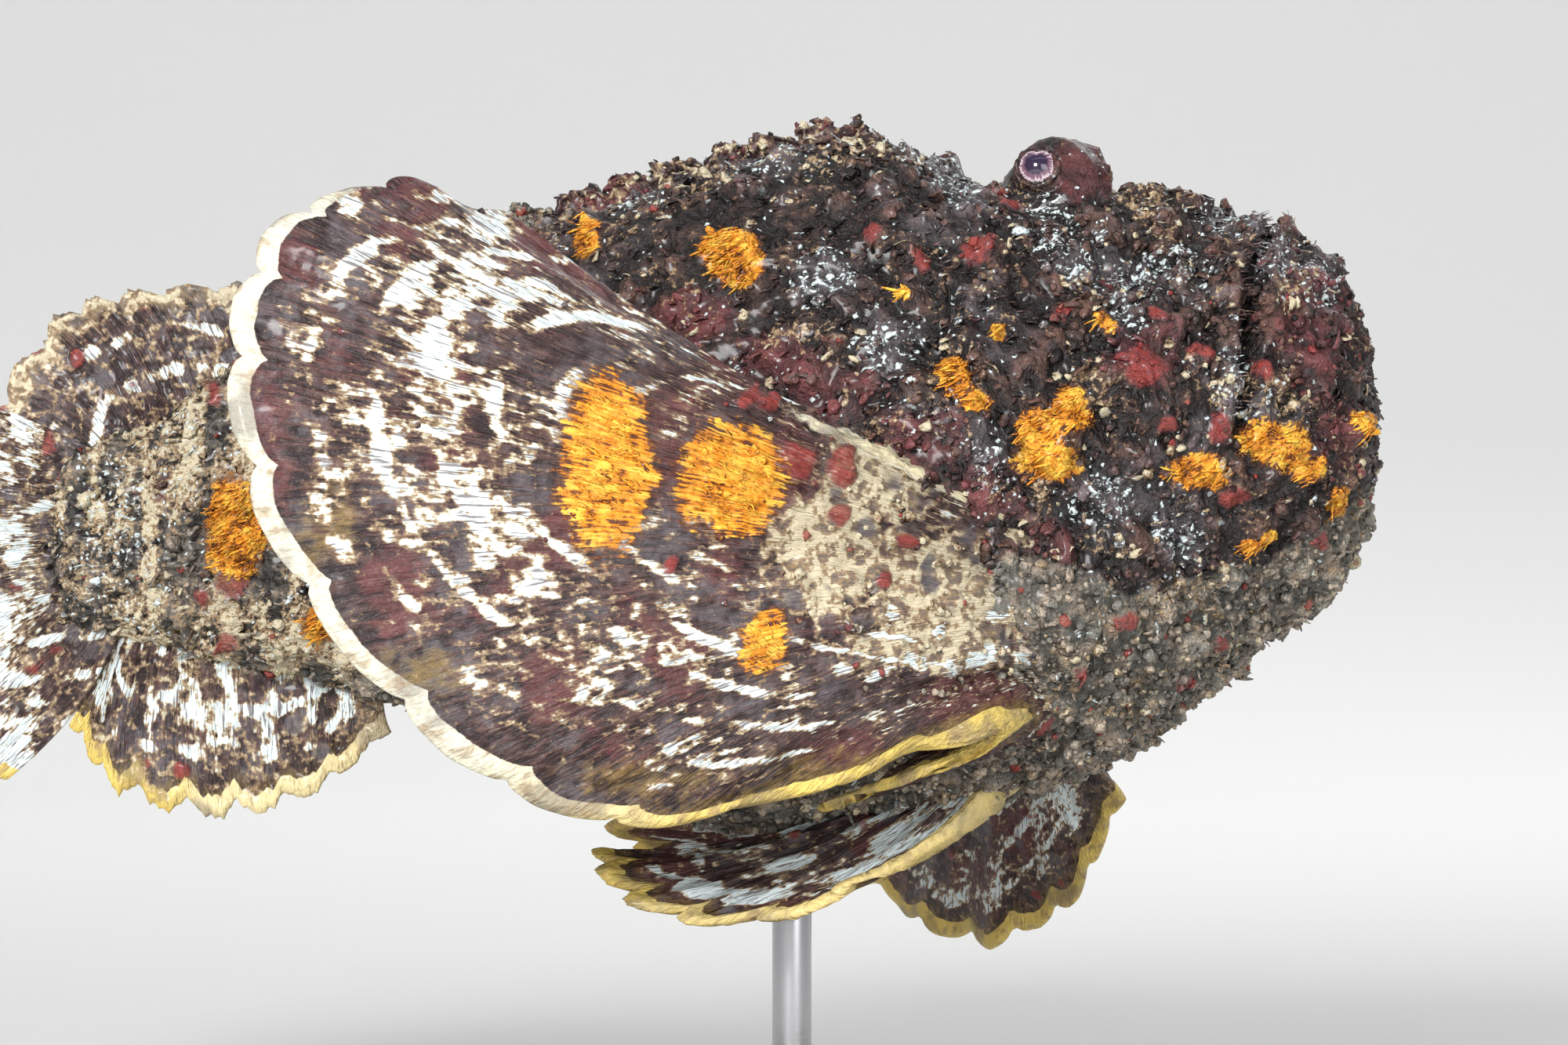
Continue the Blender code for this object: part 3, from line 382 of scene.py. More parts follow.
class StonefishFinSettings(bpy.types.PropertyGroup):
    ridge: length_property("Rays", "Height of a ray's ridge over the web", 0.6)
    grain: length_property("Grain", "Height of the fine relief of the fins", 0.3)
    margin_roll: length_property("Margin", "Swelling of the fins' margin", 0.7)
    ground: colour_property("Ground", "Dark ground of the fins", (0.020, 0.009, 0.010))
    brown: colour_property("Brown", "Lighter streaks of the ground", (0.100, 0.048, 0.040))
    margin_cream: colour_property("Margin", "Cream of the margin", (0.70, 0.69, 0.60))
    margin_yellow: colour_property("Margin shade", "Yellow of the lower margin", (0.74, 0.54, 0.13))
    olive: colour_property("Olive", "Olive tint inside the margin", (0.22, 0.14, 0.03))


class StonefishEyeSettings(bpy.types.PropertyGroup):
    iris_radius: length_property("Iris", "Radius of the pale ring of the eye", 3.1)
    pupil_radius: length_property("Pupil", "Radius of the dark middle of the eye", 2.1)
    cornea_height: length_property("Cornea", "How far the clear front bulges", 0.4)
    iris: colour_property("Iris colour", "Pinkish white teeth of the ring", (0.62, 0.50, 0.54))
    lilac: colour_property("Iris shade", "Lilac between the teeth of the ring", (0.15, 0.07, 0.11))
    pupil: colour_property("Pupil colour", "Dark violet middle", (0.020, 0.008, 0.034))
    lid: colour_property("Lid colour", "Dark skin round the ring", (0.040, 0.014, 0.016))


class StonefishStandSettings(bpy.types.PropertyGroup):
    edge_radius: length_property("Base edge", "Rounding of the base's upper edge", 1.5)
    grain_size: length_property("Grain", "Distance between two lines of the wood's grain", 3.2)
    wood_dark: colour_property("Dark wood", "Darker lines of the grain", (0.060, 0.028, 0.014))
    wood_light: colour_property("Light wood", "Lighter wood between the lines", (0.190, 0.098, 0.050))
    steel: colour_property("Steel", "Brushed steel of the rod", (0.56, 0.56, 0.58))


class StonefishStageSettings(bpy.types.PropertyGroup):
    floor: colour_property("Floor", "Pale floor and backdrop", (0.70, 0.70, 0.69))
    floor_radius: FloatProperty(
        name="Floor radius", description="Radius of the flat floor", default=1.3, subtype="DISTANCE",
        unit="LENGTH",
    )
    sweep_radius: FloatProperty(
        name="Sweep radius", description="Radius of the curve from the floor up to the backdrop",
        default=2.6, subtype="DISTANCE", unit="LENGTH",
    )
    key_power: FloatProperty(
        name="Key light", description="Power of the main light", default=26.0, unit="POWER"
    )
    fill_power: FloatProperty(
        name="Fill light", description="Power of the side light", default=7.5, unit="POWER"
    )
    back_power: FloatProperty(
        name="Back light", description="Power of the rear light", default=7.0, unit="POWER"
    )
    room_power: FloatProperty(
        name="Backdrop light", description="Power of the light on the backdrop", default=48.0, unit="POWER"
    )
    sky: FloatProperty(
        name="Room light", description="Strength of the light from all round", default=0.34
    )


# Numbers and curves


def curve_between(rows, at):
    """Values of rows, each (key, number, ...), on a smooth curve through them at key at."""
    last = len(rows) - 1
    i = 0
    while i < last - 1 and at > rows[i + 1][0]:
        i += 1
    before, start = rows[max(i - 1, 0)], rows[i]
    end, after = rows[i + 1], rows[min(i + 2, last)]
    span = end[0] - start[0]
    f = min(max((at - start[0]) / span, 0.0), 1.0)
    found = []
    for k in range(1, len(start)):
        slope_in = (end[k] - before[k]) / (end[0] - before[0])
        slope_out = (after[k] - start[k]) / (after[0] - start[0])
        found.append(
            (2 * f**3 - 3 * f**2 + 1) * start[k]
            + (f**3 - 2 * f**2 + f) * span * slope_in
            + (3 * f**2 - 2 * f**3) * end[k]
            + (f**3 - f**2) * span * slope_out
        )
    return found


def along_line(rows, at):
    """The value at key at on straight lines between rows of a key and a value."""
    return float(np.interp(at, [row[0] for row in rows], [row[1] for row in rows]))


def smooth_step(low, high, value):
    share = min(max((value - low) / (high - low), 0.0), 1.0)
    return share * share * (3 - 2 * share)


def bump_at(distance, reach):
    """A smooth bump: one at no distance, and fading out over reach."""
    return math.exp(-((distance / reach) ** 2))


def rounded_end(distance, length):
    """How wide a rounded end still is at a distance into its length."""
    return math.sqrt(max(1.0 - (distance / length) ** 2, 0.0)) if distance > 0 else 1.0


def on_side(place, side):
    """A left side's place or direction, mirrored for side -1."""
    return Vector((place[0], side * place[1], place[2]))


def turned_to(direction):
    """The turn that points +Z along direction."""
    return Vector(direction).to_track_quat("Z", "Y").to_matrix().to_4x4()


# The form of the body


@lru_cache(maxsize=None)
def body_section(x):
    """Top, bottom, half width and widest level of the body at x, rounded off at its ends."""
    top, bottom, half, share = curve_between(BODY_STATIONS, x)
    chin = rounded_end(x - (CHIN_END - CHIN_CAP), CHIN_CAP)
    tail = rounded_end(TAIL_END + TAIL_CAP - x, TAIL_CAP)
    level = CHIN_LEVEL if chin < 1.0 else (top + bottom) / 2
    left = chin * tail
    top = level + (top - level) * left
    bottom = level + (bottom - level) * left
    return top, bottom, half * left, bottom + share * (top - bottom)


def lump_height(point):
    """How far the swellings and hollows lift the flesh at a point."""
    height = 0.0
    for place, reach, lift in BODY_LUMPS.values():
        away = Vector((point.x, abs(point.y), point.z)) - Vector(place)
        height += lift * math.exp(-away.length_squared / (reach * reach))
    return height


def body_point(x, angle):
    """A point of the body's surface: angle 0 is its left side and a quarter turn its back."""
    top, bottom, half, level = body_section(x)
    across, up = math.cos(angle), math.sin(angle)
    power = 2.0 / SECTION_POWER
    y = half * math.copysign(abs(across) ** power, across)
    rise = (top if up > 0 else bottom) - level
    point = Vector((x, y, level + rise * abs(up) ** power))
    outward = Vector((0.0, y, point.z - (top + bottom) / 2))
    if outward.length < 1e-6:
        return point
    relief = RELIEF_HEIGHT * noise.noise(point / RELIEF_SIZE)
    return point + outward.normalized() * (lump_height(point) + relief)


def mouth_x(z):
    """The mouth's x at a height, no lower than its corner and no higher than its middle."""
    rows = [(height, x) for x, height in MOUTH_LINE]
    return curve_between(rows, min(max(z, rows[0][0]), rows[-1][0]))[0]


def with_turret(point):
    """A point of the body, pushed out to the knob of flesh that carries the eye on its side."""
    side = 1.0 if point.y > 0 else -1.0
    lean = on_side(TURRET_LEAN, side).normalized()
    centre = on_side(TURRET_CENTRE, side)
    start = centre - lean * TURRET_ROOT_DEPTH
    way = point - start
    near = way.length
    fade = smooth_step(19.0, 13.0, near)
    if fade == 0.0 or way.dot(lean) <= 0.0:
        return point
    way.normalize()
    radii = Vector(TURRET_RADII)
    offset = Vector((start - centre)[k] / radii[k] for k in range(3))
    heading = Vector(way[k] / radii[k] for k in range(3))
    a, b, c = heading.dot(heading), offset.dot(heading), offset.dot(offset) - 1.0
    far = (-b + math.sqrt(max(b * b - a * c, 0.0))) / a
    joined = (near + far) / 2 + math.sqrt((near - far) ** 2 + 2.2**2) / 2
    return start + way * (near + (joined - near) * fade)


def with_socket(point):
    """A point of the turret, drawn in under the eyeball and raised round it as a lid."""
    side = 1.0 if point.y > 0 else -1.0
    outward = on_side(EYE_OUTWARD, side).normalized()
    way = point - on_side(EYE_PLACE, side)
    along = way.dot(outward)
    aside = (way - outward * along).length
    if along < -1.0 or aside > 7.0:
        return point
    ball = math.sqrt(max(EYE_RADIUS**2 - aside**2, 0.0))
    wanted = ball - 1.1 if aside < EYE_RIM_RADIUS - 0.5 else ball + 0.5
    share = smooth_step(6.6, 4.2, aside)
    return point + outward * (wanted - along) * share


# Markings, alike for the skin, its growths and the fins


def patch_mark(place, patches):
    """How deep a place lies in the nearest of the patches: one inside, a half at its edge."""
    best = 0.0
    for x, z, half_x, half_z in patches:
        away = math.hypot((place.x - x) / half_x, (place.z - z) / half_z)
        best = max(best, PATCH_SOFTNESS - away)
    return min(best, 1.0)


def warped(point, reach=PATCH_WARP, size=PATCH_WARP_SIZE):
    """The point shifted by seeded noise, so that the edges of markings wander."""
    return point + reach * noise.noise_vector(point / size)


def body_marks(point):
    """The markings of the body at a point, by name."""
    place = warped(point)
    belly = smooth_step(-3.5, 3.5, along_line(BELLY_LINE, place.x) - place.z)
    column = noise.noise(Vector((place.x / 4.2, 0.3 * place.y / 4.2, place.z / 17.0)))
    stalk = smooth_step(-52.0, -84.0, place.x) * min(max(0.60 + 1.1 * column, 0.1), 1.0)
    back = smooth_step(9.0, 0.0, body_section(point.x)[0] - place.z) * smooth_step(30.0, 5.0, place.x)
    side = smooth_step(4.0, 11.0, abs(point.y)) if place.z > 30.0 else 1.0
    return {
        "orange": side * patch_mark(place, ORANGE_PATCHES),
        "red": 0.86 * side * patch_mark(place, RED_PATCHES),
        "maroon": 0.85 * patch_mark(place, MAROON_PATCHES),
        "white": max(0.75 * patch_mark(place, WHITE_PATCHES), 0.45 * stalk, 0.2 * back),
        "cream": max(
            stalk, 0.42 * back, 0.2 + 0.5 * noise.noise(place / 11.0 + Vector((2.0, 5.0, 0.0)))
        ),
        "pale": max(belly, 0.48 * smooth_step(-64.0, -92.0, place.x)),
    }


def margin_width(kind, share, margin):
    """The width of the pale margin at a share across a fan: the pectoral's upper edge has little."""
    if kind != "pectoral":
        return margin
    lobed = smooth_step(0.55, 0.75, share) * (0.5 + 0.35 * math.cos(2 * math.pi * 17 * share))
    return margin * (0.3 + 0.7 * smooth_step(0.04, 0.2, share) + lobed)


def fin_marks(kind, point, share, out, reach, left, margin, bands, is_near):
    """The markings of a fin at shares across its fan and out along its ray.

    The reach is what is left of the ray in millimetres, and left what is left of the web.
    """
    place = warped(point)
    drift = 0.35 * noise.noise(Vector((share * 6.0, reach / 34.0, 3.7)))
    first = 15.6 if kind == "pectoral" else 0.25 * bands
    band = (0.5 + 0.5 * math.cos(2 * math.pi * ((reach - first) / bands + drift))) ** 1.8
    clump = 0.62 + 1.1 * noise.noise(Vector((share * 15.0, reach / 14.0, 8.1)))
    inside = smooth_step(1.3, 2.4, left / margin)
    edge = margin * (1.0 + 0.3 * noise.noise(Vector((share * 34.0, 1.3, 0.0))))
    marks = {
        "white": band * min(max(clump, 0.0), 1.1) * inside,
        "rim": min(max(0.5 + (edge - left) / 1.2, 0.0), 1.0),
        "red": 0.0,
        "orange": 0.0,
        "cream": 0.0,
        "pale": 0.15 + 0.85 * smooth_step(0.46, 0.62, share),
        "olive": 0.5 * smooth_step(2.4 * margin, margin, left),
        "maroon": min(max(0.5 + 1.3 * noise.noise(place / 13.0), 0.0), 1.0),
    }
    if kind == "pectoral":
        upper = smooth_step(0.12, 0.06, share) * smooth_step(0.5, 0.36, out)
        marks["rim"] = max(marks["rim"] * smooth_step(0.03, 0.17, share), upper)
        across = 3.0 + 13.0 * smooth_step(0.45, 0.62, share)
        marks["olive"] = 0.6 * smooth_step(across, 0.3 * across, left) * smooth_step(0.45, 0.65, share)
        marks["white"] *= smooth_step(96.0, 60.0, reach) * (1.0 - 0.2 * smooth_step(0.5, 0.7, share))
        mottle = inside * (0.44 + 0.35 * noise.noise(place / 9.0))
        if is_near:
            mottle *= 1.0 - 0.75 * patch_mark(place, FIN_CREAM_PATCHES)
        marks["white"] = max(marks["white"], mottle)
        if reach > 0.5 * first:
            heart = (
                bump_at(reach - 37.0, 15.0) * smooth_step(0.03, 0.09, share) * smooth_step(0.6, 0.4, share)
            )
            marks["white"] = max(marks["white"], heart * (0.72 + 0.5 * noise.noise(place / 5.5)))
        marks["pale"] = max(marks["pale"], 0.4 * upper)
    if kind == "pectoral" and is_near:
        marks["orange"] = patch_mark(place, FIN_ORANGE_PATCHES)
        marks["red"] = patch_mark(place, FIN_RED_PATCHES)
        marks["cream"] = patch_mark(place, FIN_CREAM_PATCHES)
        marks["olive"] = max(marks["olive"], 0.5 * patch_mark(place, FIN_OLIVE_PATCHES))
        marks["white"] = max(marks["white"], 0.85 * patch_mark(place, FIN_WHITE_PATCHES))
        return marks
    marks["red"] = min(max(3.0 * noise.noise(place / 5.0 + Vector((9.0, 0.0, 0.0))) - 1.15, 0.0), 0.8)
    if kind == "pelvic":
        block = 0.5 + 1.7 * noise.noise(Vector((share * 4.5, out * 5.5, 6.1)))
        marks["white"] = min(max(block, 0.7 * marks["white"], 0.0), 1.0) * inside
        marks["rim"] = max(marks["rim"], smooth_step(0.09, 0.04, share))
    if kind in ("pelvic", "far pectoral"):
        marks["pale"] = max(marks["pale"], 0.8)
    if kind == "caudal":
        tip = 0.75 + 0.7 * noise.noise(Vector((place.x / 5.0, 4.4, place.z / 7.0)))
        marks["white"] = max(
            1.2 * marks["white"], bump_at(point.x + 139.0, 7.0) * min(max(tip, 0.0), 1.0)
        )
    marks["cream"] = {"anal": 0.42, "soft": 0.4, "caudal": 0.42, "spiny": 0.4}.get(kind, 0.2)
    if kind in ("anal", "far pectoral"):
        streak = 0.52 + 1.3 * noise.noise(Vector((share * 19.0, out * 2.6, 2.2)))
        marks["white"] = max(marks["white"], 0.85 * min(max(streak, 0.0), 1.0) * inside)
    if kind in ("soft", "anal", "caudal"):
        marks["maroon"] *= 0.35
    if kind == "soft":
        marks["rim"] *= 0.3
        marks["cream"] = max(marks["cream"], 0.9 * smooth_step(7.0, 1.5, left))
    if kind == "anal":
        marks["pale"] = max(marks["pale"], 0.6)
    if kind == "spiny":
        marks["rim"], marks["olive"], marks["white"] = 0.0, 0.0, 0.35 * marks["white"]
    return marks


# Pieces


def finish_piece(obj, nodes=()):
    """Sets an object in the scene as a piece of the model that rides on its body."""
    bpy.context.scene.collection.objects.link(obj)
    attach(obj, "root")
    if nodes:
        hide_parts(*nodes)
    return obj


def add_piece(name, bm, material, nodes=()):
    """Makes bm, in the fish's millimetres, a smooth piece in metres at the fish's place."""
    bmesh.ops.scale(bm, verts=bm.verts, vec=(MM, MM, MM))
    bmesh.ops.translate(bm, verts=bm.verts, vec=(0.0, 0.0, FISH_HEIGHT))
    return add_metre_piece(name, bm, material, nodes)


def add_metre_piece(name, bm, material, nodes=()):
    """Makes bm, already in metres and in place, a smooth piece."""
    mesh = bpy.data.meshes.new(name)
    bm.to_mesh(mesh)
    bm.free()
    mesh.polygons.foreach_set("use_smooth", [True] * len(mesh.polygons))
    mesh.materials.append(material)
    return finish_piece(bpy.data.objects.new(name, mesh), nodes)


def from_lowest(corners):
    """A face's corners in the same turn, from the lowest on."""
    first = corners.index(min(corners))
    return corners[first:] + corners[:first]


def in_fixed_order(bm):
    """Makes bm again with its faces in one order: the order they are made in varies by run."""
    bm.verts.index_update()
    unwrap = bm.loops.layers.uv.active
    faces = sorted(
        from_lowest([(loop.vert.index, tuple(loop[unwrap].uv) if unwrap else ()) for loop in face.loops])
        for face in bm.faces
    )
    made = bmesh.new()
    layer = made.loops.layers.uv.new(unwrap.name) if unwrap else None
    verts = [made.verts.new(v.co) for v in bm.verts]
    for corners in faces:
        face = made.faces.new([verts[index] for index, _ in corners])
        if layer:
            for loop, (_, place) in zip(face.loops, corners):
                loop[layer].uv = place
    bm.free()
    return made


def mark_layers(bm):
    """The mesh's number layers for the markings, by name."""
    return {name: bm.verts.layers.float.new(name) for name in MARK_NAMES}


# Materials


class Finish:
    """A material and short calls for its nodes. Sizes of patterns are in millimetres."""

    def __init__(self, name, **fixed):
        self.material = bpy.data.materials.new(name)
        self.material.use_nodes = True
        self.tree = self.material.node_tree
        self.surface = self.tree.nodes["Principled BSDF"]
        for socket, value in fixed.items():
            self.surface.inputs[socket.replace("_", " ").title()].default_value = value
        self.surface.inputs["Specular IOR Level"].default_value = 0.35
        self.place = self.add("ShaderNodeTexCoord").outputs["Object"]

    def add(self, kind, inputs=None, **settings):
        node = self.tree.nodes.new(kind)
        for key, value in settings.items():
            setattr(node, key, value)
        for socket, value in (inputs or {}).items():
            if isinstance(value, bpy.types.NodeSocket):
                self.tree.links.new(value, node.inputs[socket])
            else:
                node.inputs[socket].default_value = value
        return node

    def math(self, operation, first, second=0.0):
        return self.add("ShaderNodeMath", {0: first, 1: second}, operation=operation).outputs[0]

    def sum_of(self, *terms):
        """The sum of terms, each a number's socket and its weight."""
        total = None
        for value, weight in terms:
            part = self.math("MULTIPLY", value, weight)
            total = part if total is None else self.math("ADD", total, part)
        return total

    def step(self, value, low, high):
        """Zero below low, one above high, and smooth between."""
        node = self.add(
            "ShaderNodeMapRange", {"Value": value, "From Min": low, "From Max": high},
            interpolation_type="SMOOTHSTEP",
        )
        return node.outputs[0]

    def spread(self, value, low, high):
        """A number from 0 to 1 set between low and high."""
        node = self.add("ShaderNodeMapRange", {"Value": value, "To Min": low, "To Max": high})
        return node.outputs[0]

    def noise(self, size, detail=3.0, roughness=0.55, distortion=0.0, place=None):
        wanted = {
            "Vector": place or self.place, "Scale": 1 / (size * MM), "Detail": detail,
            "Roughness": roughness, "Distortion": distortion,
        }
        return self.add("ShaderNodeTexNoise", wanted).outputs[0]

    def field(self, size, detail=3.0, roughness=0.55, distortion=0.0, place=None):
        """Noise of that size, spread over the whole range from 0 to 1."""
        value = self.noise(size, detail, roughness, distortion, place)
        return self.add(
            "ShaderNodeMapRange", {"Value": value, "From Min": 0.3, "From Max": 0.7}
        ).outputs[0]

    def flecks(self, size, reach, amount, place=None):
        """Round flecks in as many cells of that size as amount gives, each of that reach."""
        node = self.add(
            "ShaderNodeTexVoronoi", {"Vector": place or self.place, "Scale": 1 / (size * MM)}
        )
        chance = self.add("ShaderNodeSeparateColor", {0: node.outputs["Color"]}).outputs[0]
        inside = self.step(node.outputs["Distance"], reach, 0.55 * reach)
        chosen = self.step(self.sum_of((amount, 1.0), (chance, -1.0)), 0.0, 0.05)
        return self.math("MULTIPLY", inside, chosen)

    def seams(self, size, width, place=None):
        """The seams between cells of that size."""
        wanted = {"Vector": place or self.place, "Scale": 1 / (size * MM)}
        node = self.add("ShaderNodeTexVoronoi", wanted, feature="DISTANCE_TO_EDGE")
        return self.step(node.outputs["Distance"], width, 0.35 * width)

    def shaken(self, reach):
        """The place, moved about by noise that far in millimetres."""
        wanted = {"Vector": self.place, "Scale": 1 / (1.5 * reach * MM), "Detail": 2.0}
        sway = self.add("ShaderNodeTexNoise", wanted).outputs["Color"]
        node = self.add("ShaderNodeVectorMath", {0: sway, 2: self.place}, operation="MULTIPLY_ADD")
        node.inputs[1].default_value = (2.0 * reach * MM,) * 3
        return node.outputs[0]

    def stretched(self, scale, place=None):
        return self.add("ShaderNodeMapping", {"Vector": place or self.place, "Scale": scale}).outputs[0]

    def along(self, length, turn, place=None):
        """The place, drawn out so that patterns are that many times as long along a turned X."""
        wanted = {
            "Vector": place or self.place, "Rotation": (0.0, turn, 0.0), "Scale": (length, 1.0, 1.0)
        }
        return self.add("ShaderNodeMapping", wanted, vector_type="TEXTURE").outputs[0]

    def mark(self, name):
        return self.add("ShaderNodeAttribute", attribute_name=name).outputs["Fac"]

    def map_place(self, name):
        return self.add("ShaderNodeUVMap", uv_map=name).outputs[0]

    def coat(self, share, under, over):
        """The colour under, covered by the colour over for a share from 0 to 1."""
        node = self.add("ShaderNodeMix", data_type="RGBA")
        for socket, value in ((0, share), (6, under), (7, over)):
            if isinstance(value, bpy.types.NodeSocket):
                self.tree.links.new(value, node.inputs[socket])
            else:
                node.inputs[socket].default_value = (*value, 1.0) if socket > 0 else value
        return node.outputs[2]

    def shaded(self, colour, amount):
        """The colour made darker or lighter by a number."""
        grey = self.add("ShaderNodeCombineColor", {0: amount, 1: amount, 2: amount}).outputs[0]
        node = self.add("ShaderNodeMix", {0: 1.0}, data_type="RGBA", blend_type="MULTIPLY")
        self.tree.links.new(colour, node.inputs[6])
        self.tree.links.new(grey, node.inputs[7])
        return node.outputs[2]

    def finish(self, colour, roughness, height, relief):
        """Links the colour, roughness and a bump of that relief in millimetres."""
        self.tree.links.new(colour, self.surface.inputs["Base Color"])
        self.tree.links.new(roughness, self.surface.inputs["Roughness"])
        bump = self.add("ShaderNodeBump", {"Height": height, "Distance": relief * MM, "Strength": 1.0})
        self.tree.links.new(bump.outputs[0], self.surface.inputs["Normal"])
        return self.material


def add_patches(paint, colour, skin, fine, mid, streak):
    """Adds the red spots and the furry orange patches that skin and fins share."""
    reds = paint.sum_of((paint.mark("red"), 1.0), (fine, 0.22), (mid, 0.16))
    heart = paint.coat(
        paint.step(paint.sum_of((reds, 0.7), (streak, 0.6)), 0.62, 1.25), skin.maroon, skin.red
    )
    colour = paint.coat(paint.spread(paint.step(reds, 0.66, 1.0), 0.0, 0.86), colour, heart)
    oranges = paint.sum_of((paint.mark("orange"), 1.0), (fine, 0.28), (streak, 0.34))
    light = paint.sum_of((streak, 0.6), (mid, 0.5), (paint.mark("orange"), 0.15))
    orange = paint.coat(paint.step(light, 0.38, 0.60), skin.rust, skin.orange)
    orange = paint.coat(paint.spread(paint.step(light, 0.62, 0.90), 0.0, 0.9), orange, skin.yellow)
    # Painted light and shade on the orange patches by relief, with a random tone for each fur strand.
    orange = paint.shaded(orange, paint.spread(paint.mark("raised"), 0.6, 1.15))
    scorched = paint.coat(paint.spread(paint.step(oranges, 0.62, 0.80), 0.0, 0.8), colour, skin.rust)
    return paint.coat(paint.step(oranges, 0.76, 0.92), scorched, orange)


def skin_material(skin):
    """Moist warty skin: dark ground, pale belly, cream, white specks, red and orange patches, with painted light and
    shade by relief.
    """
    paint = Finish("stonefish_skin", coat_weight=0.22, coat_roughness=0.18)
    broad, mid = paint.field(12.0), paint.field(3.6)
    fine, grit = paint.field(1.2, detail=4.0), paint.field(0.5, detail=2.0)
    streak = paint.field(0.75, detail=3.0, distortion=1.4, place=paint.along(3.2, -0.45))
    raised = paint.mark("raised")

    # Lighter brown mottling: partly random, and partly painted light on the raised places.
    shade = paint.sum_of((mid, 0.5), (fine, 0.3), (raised, 0.35))
    colour = paint.coat(paint.step(shade, 0.38, 0.86), skin.ground, skin.brown)
    haze = paint.sum_of((broad, 0.6), (mid, 0.4), (paint.mark("white"), 0.35))
    colour = paint.coat(paint.spread(paint.step(haze, 0.52, 0.9), 0.0, 0.7), colour, skin.slate)
    blotch = paint.sum_of((paint.mark("maroon"), 0.62), (broad, 0.25), (fine, 0.25), (raised, 0.1))
    colour = paint.coat(paint.spread(paint.step(blotch, 0.52, 0.85), 0.0, 0.85), colour, skin.maroon)
    belly = paint.coat(
        paint.step(paint.sum_of((mid, 0.6), (grit, 0.4)), 0.35, 0.75), skin.moss, skin.taupe
    )
    lower = paint.sum_of((paint.mark("pale"), 1.0), (fine, 0.3), (mid, 0.2))
    colour = paint.coat(paint.step(lower, 0.55, 0.85), colour, belly)
    # Painted shade in the skin's hollows and painted light on its raised tops.
    colour = paint.shaded(colour, paint.spread(paint.step(raised, 0.0, 0.85), 0.3, 1.45))

    cream = paint.mark("cream")
    mottle = paint.sum_of((cream, 0.62), (fine, 0.5), (mid, 0.3), (grit, 0.2))
    colour = paint.coat(paint.step(mottle, 0.82, 0.94), colour, skin.tan)
    colour = paint.coat(paint.step(mottle, 0.97, 1.08), colour, skin.cream)
    white = paint.mark("white")
    shaken = paint.shaken(0.7)
    dots = paint.flecks(1.0, 0.42, paint.sum_of((white, 0.5), (broad, 0.14)), shaken)
    blobs = paint.flecks(2.3, 0.30, paint.sum_of((white, 0.3), (mid, 0.04)), shaken)
    veil = paint.step(paint.sum_of((white, 0.42), (fine, 0.6), (streak, 0.5)), 0.97, 1.1)
    specks = paint.math("MAXIMUM", paint.math("MAXIMUM", dots, blobs), veil)
    colour = paint.coat(paint.spread(specks, 0.0, 0.92), colour, skin.white)
    colour = add_patches(paint, colour, skin, fine, mid, streak)

    roughness = paint.spread(fine, 0.28, 0.6)
    height = paint.sum_of((fine, 0.55), (grit, 0.25), (mid, 0.35), (specks, 0.25))
    return paint.finish(colour, roughness, height, 0.75)


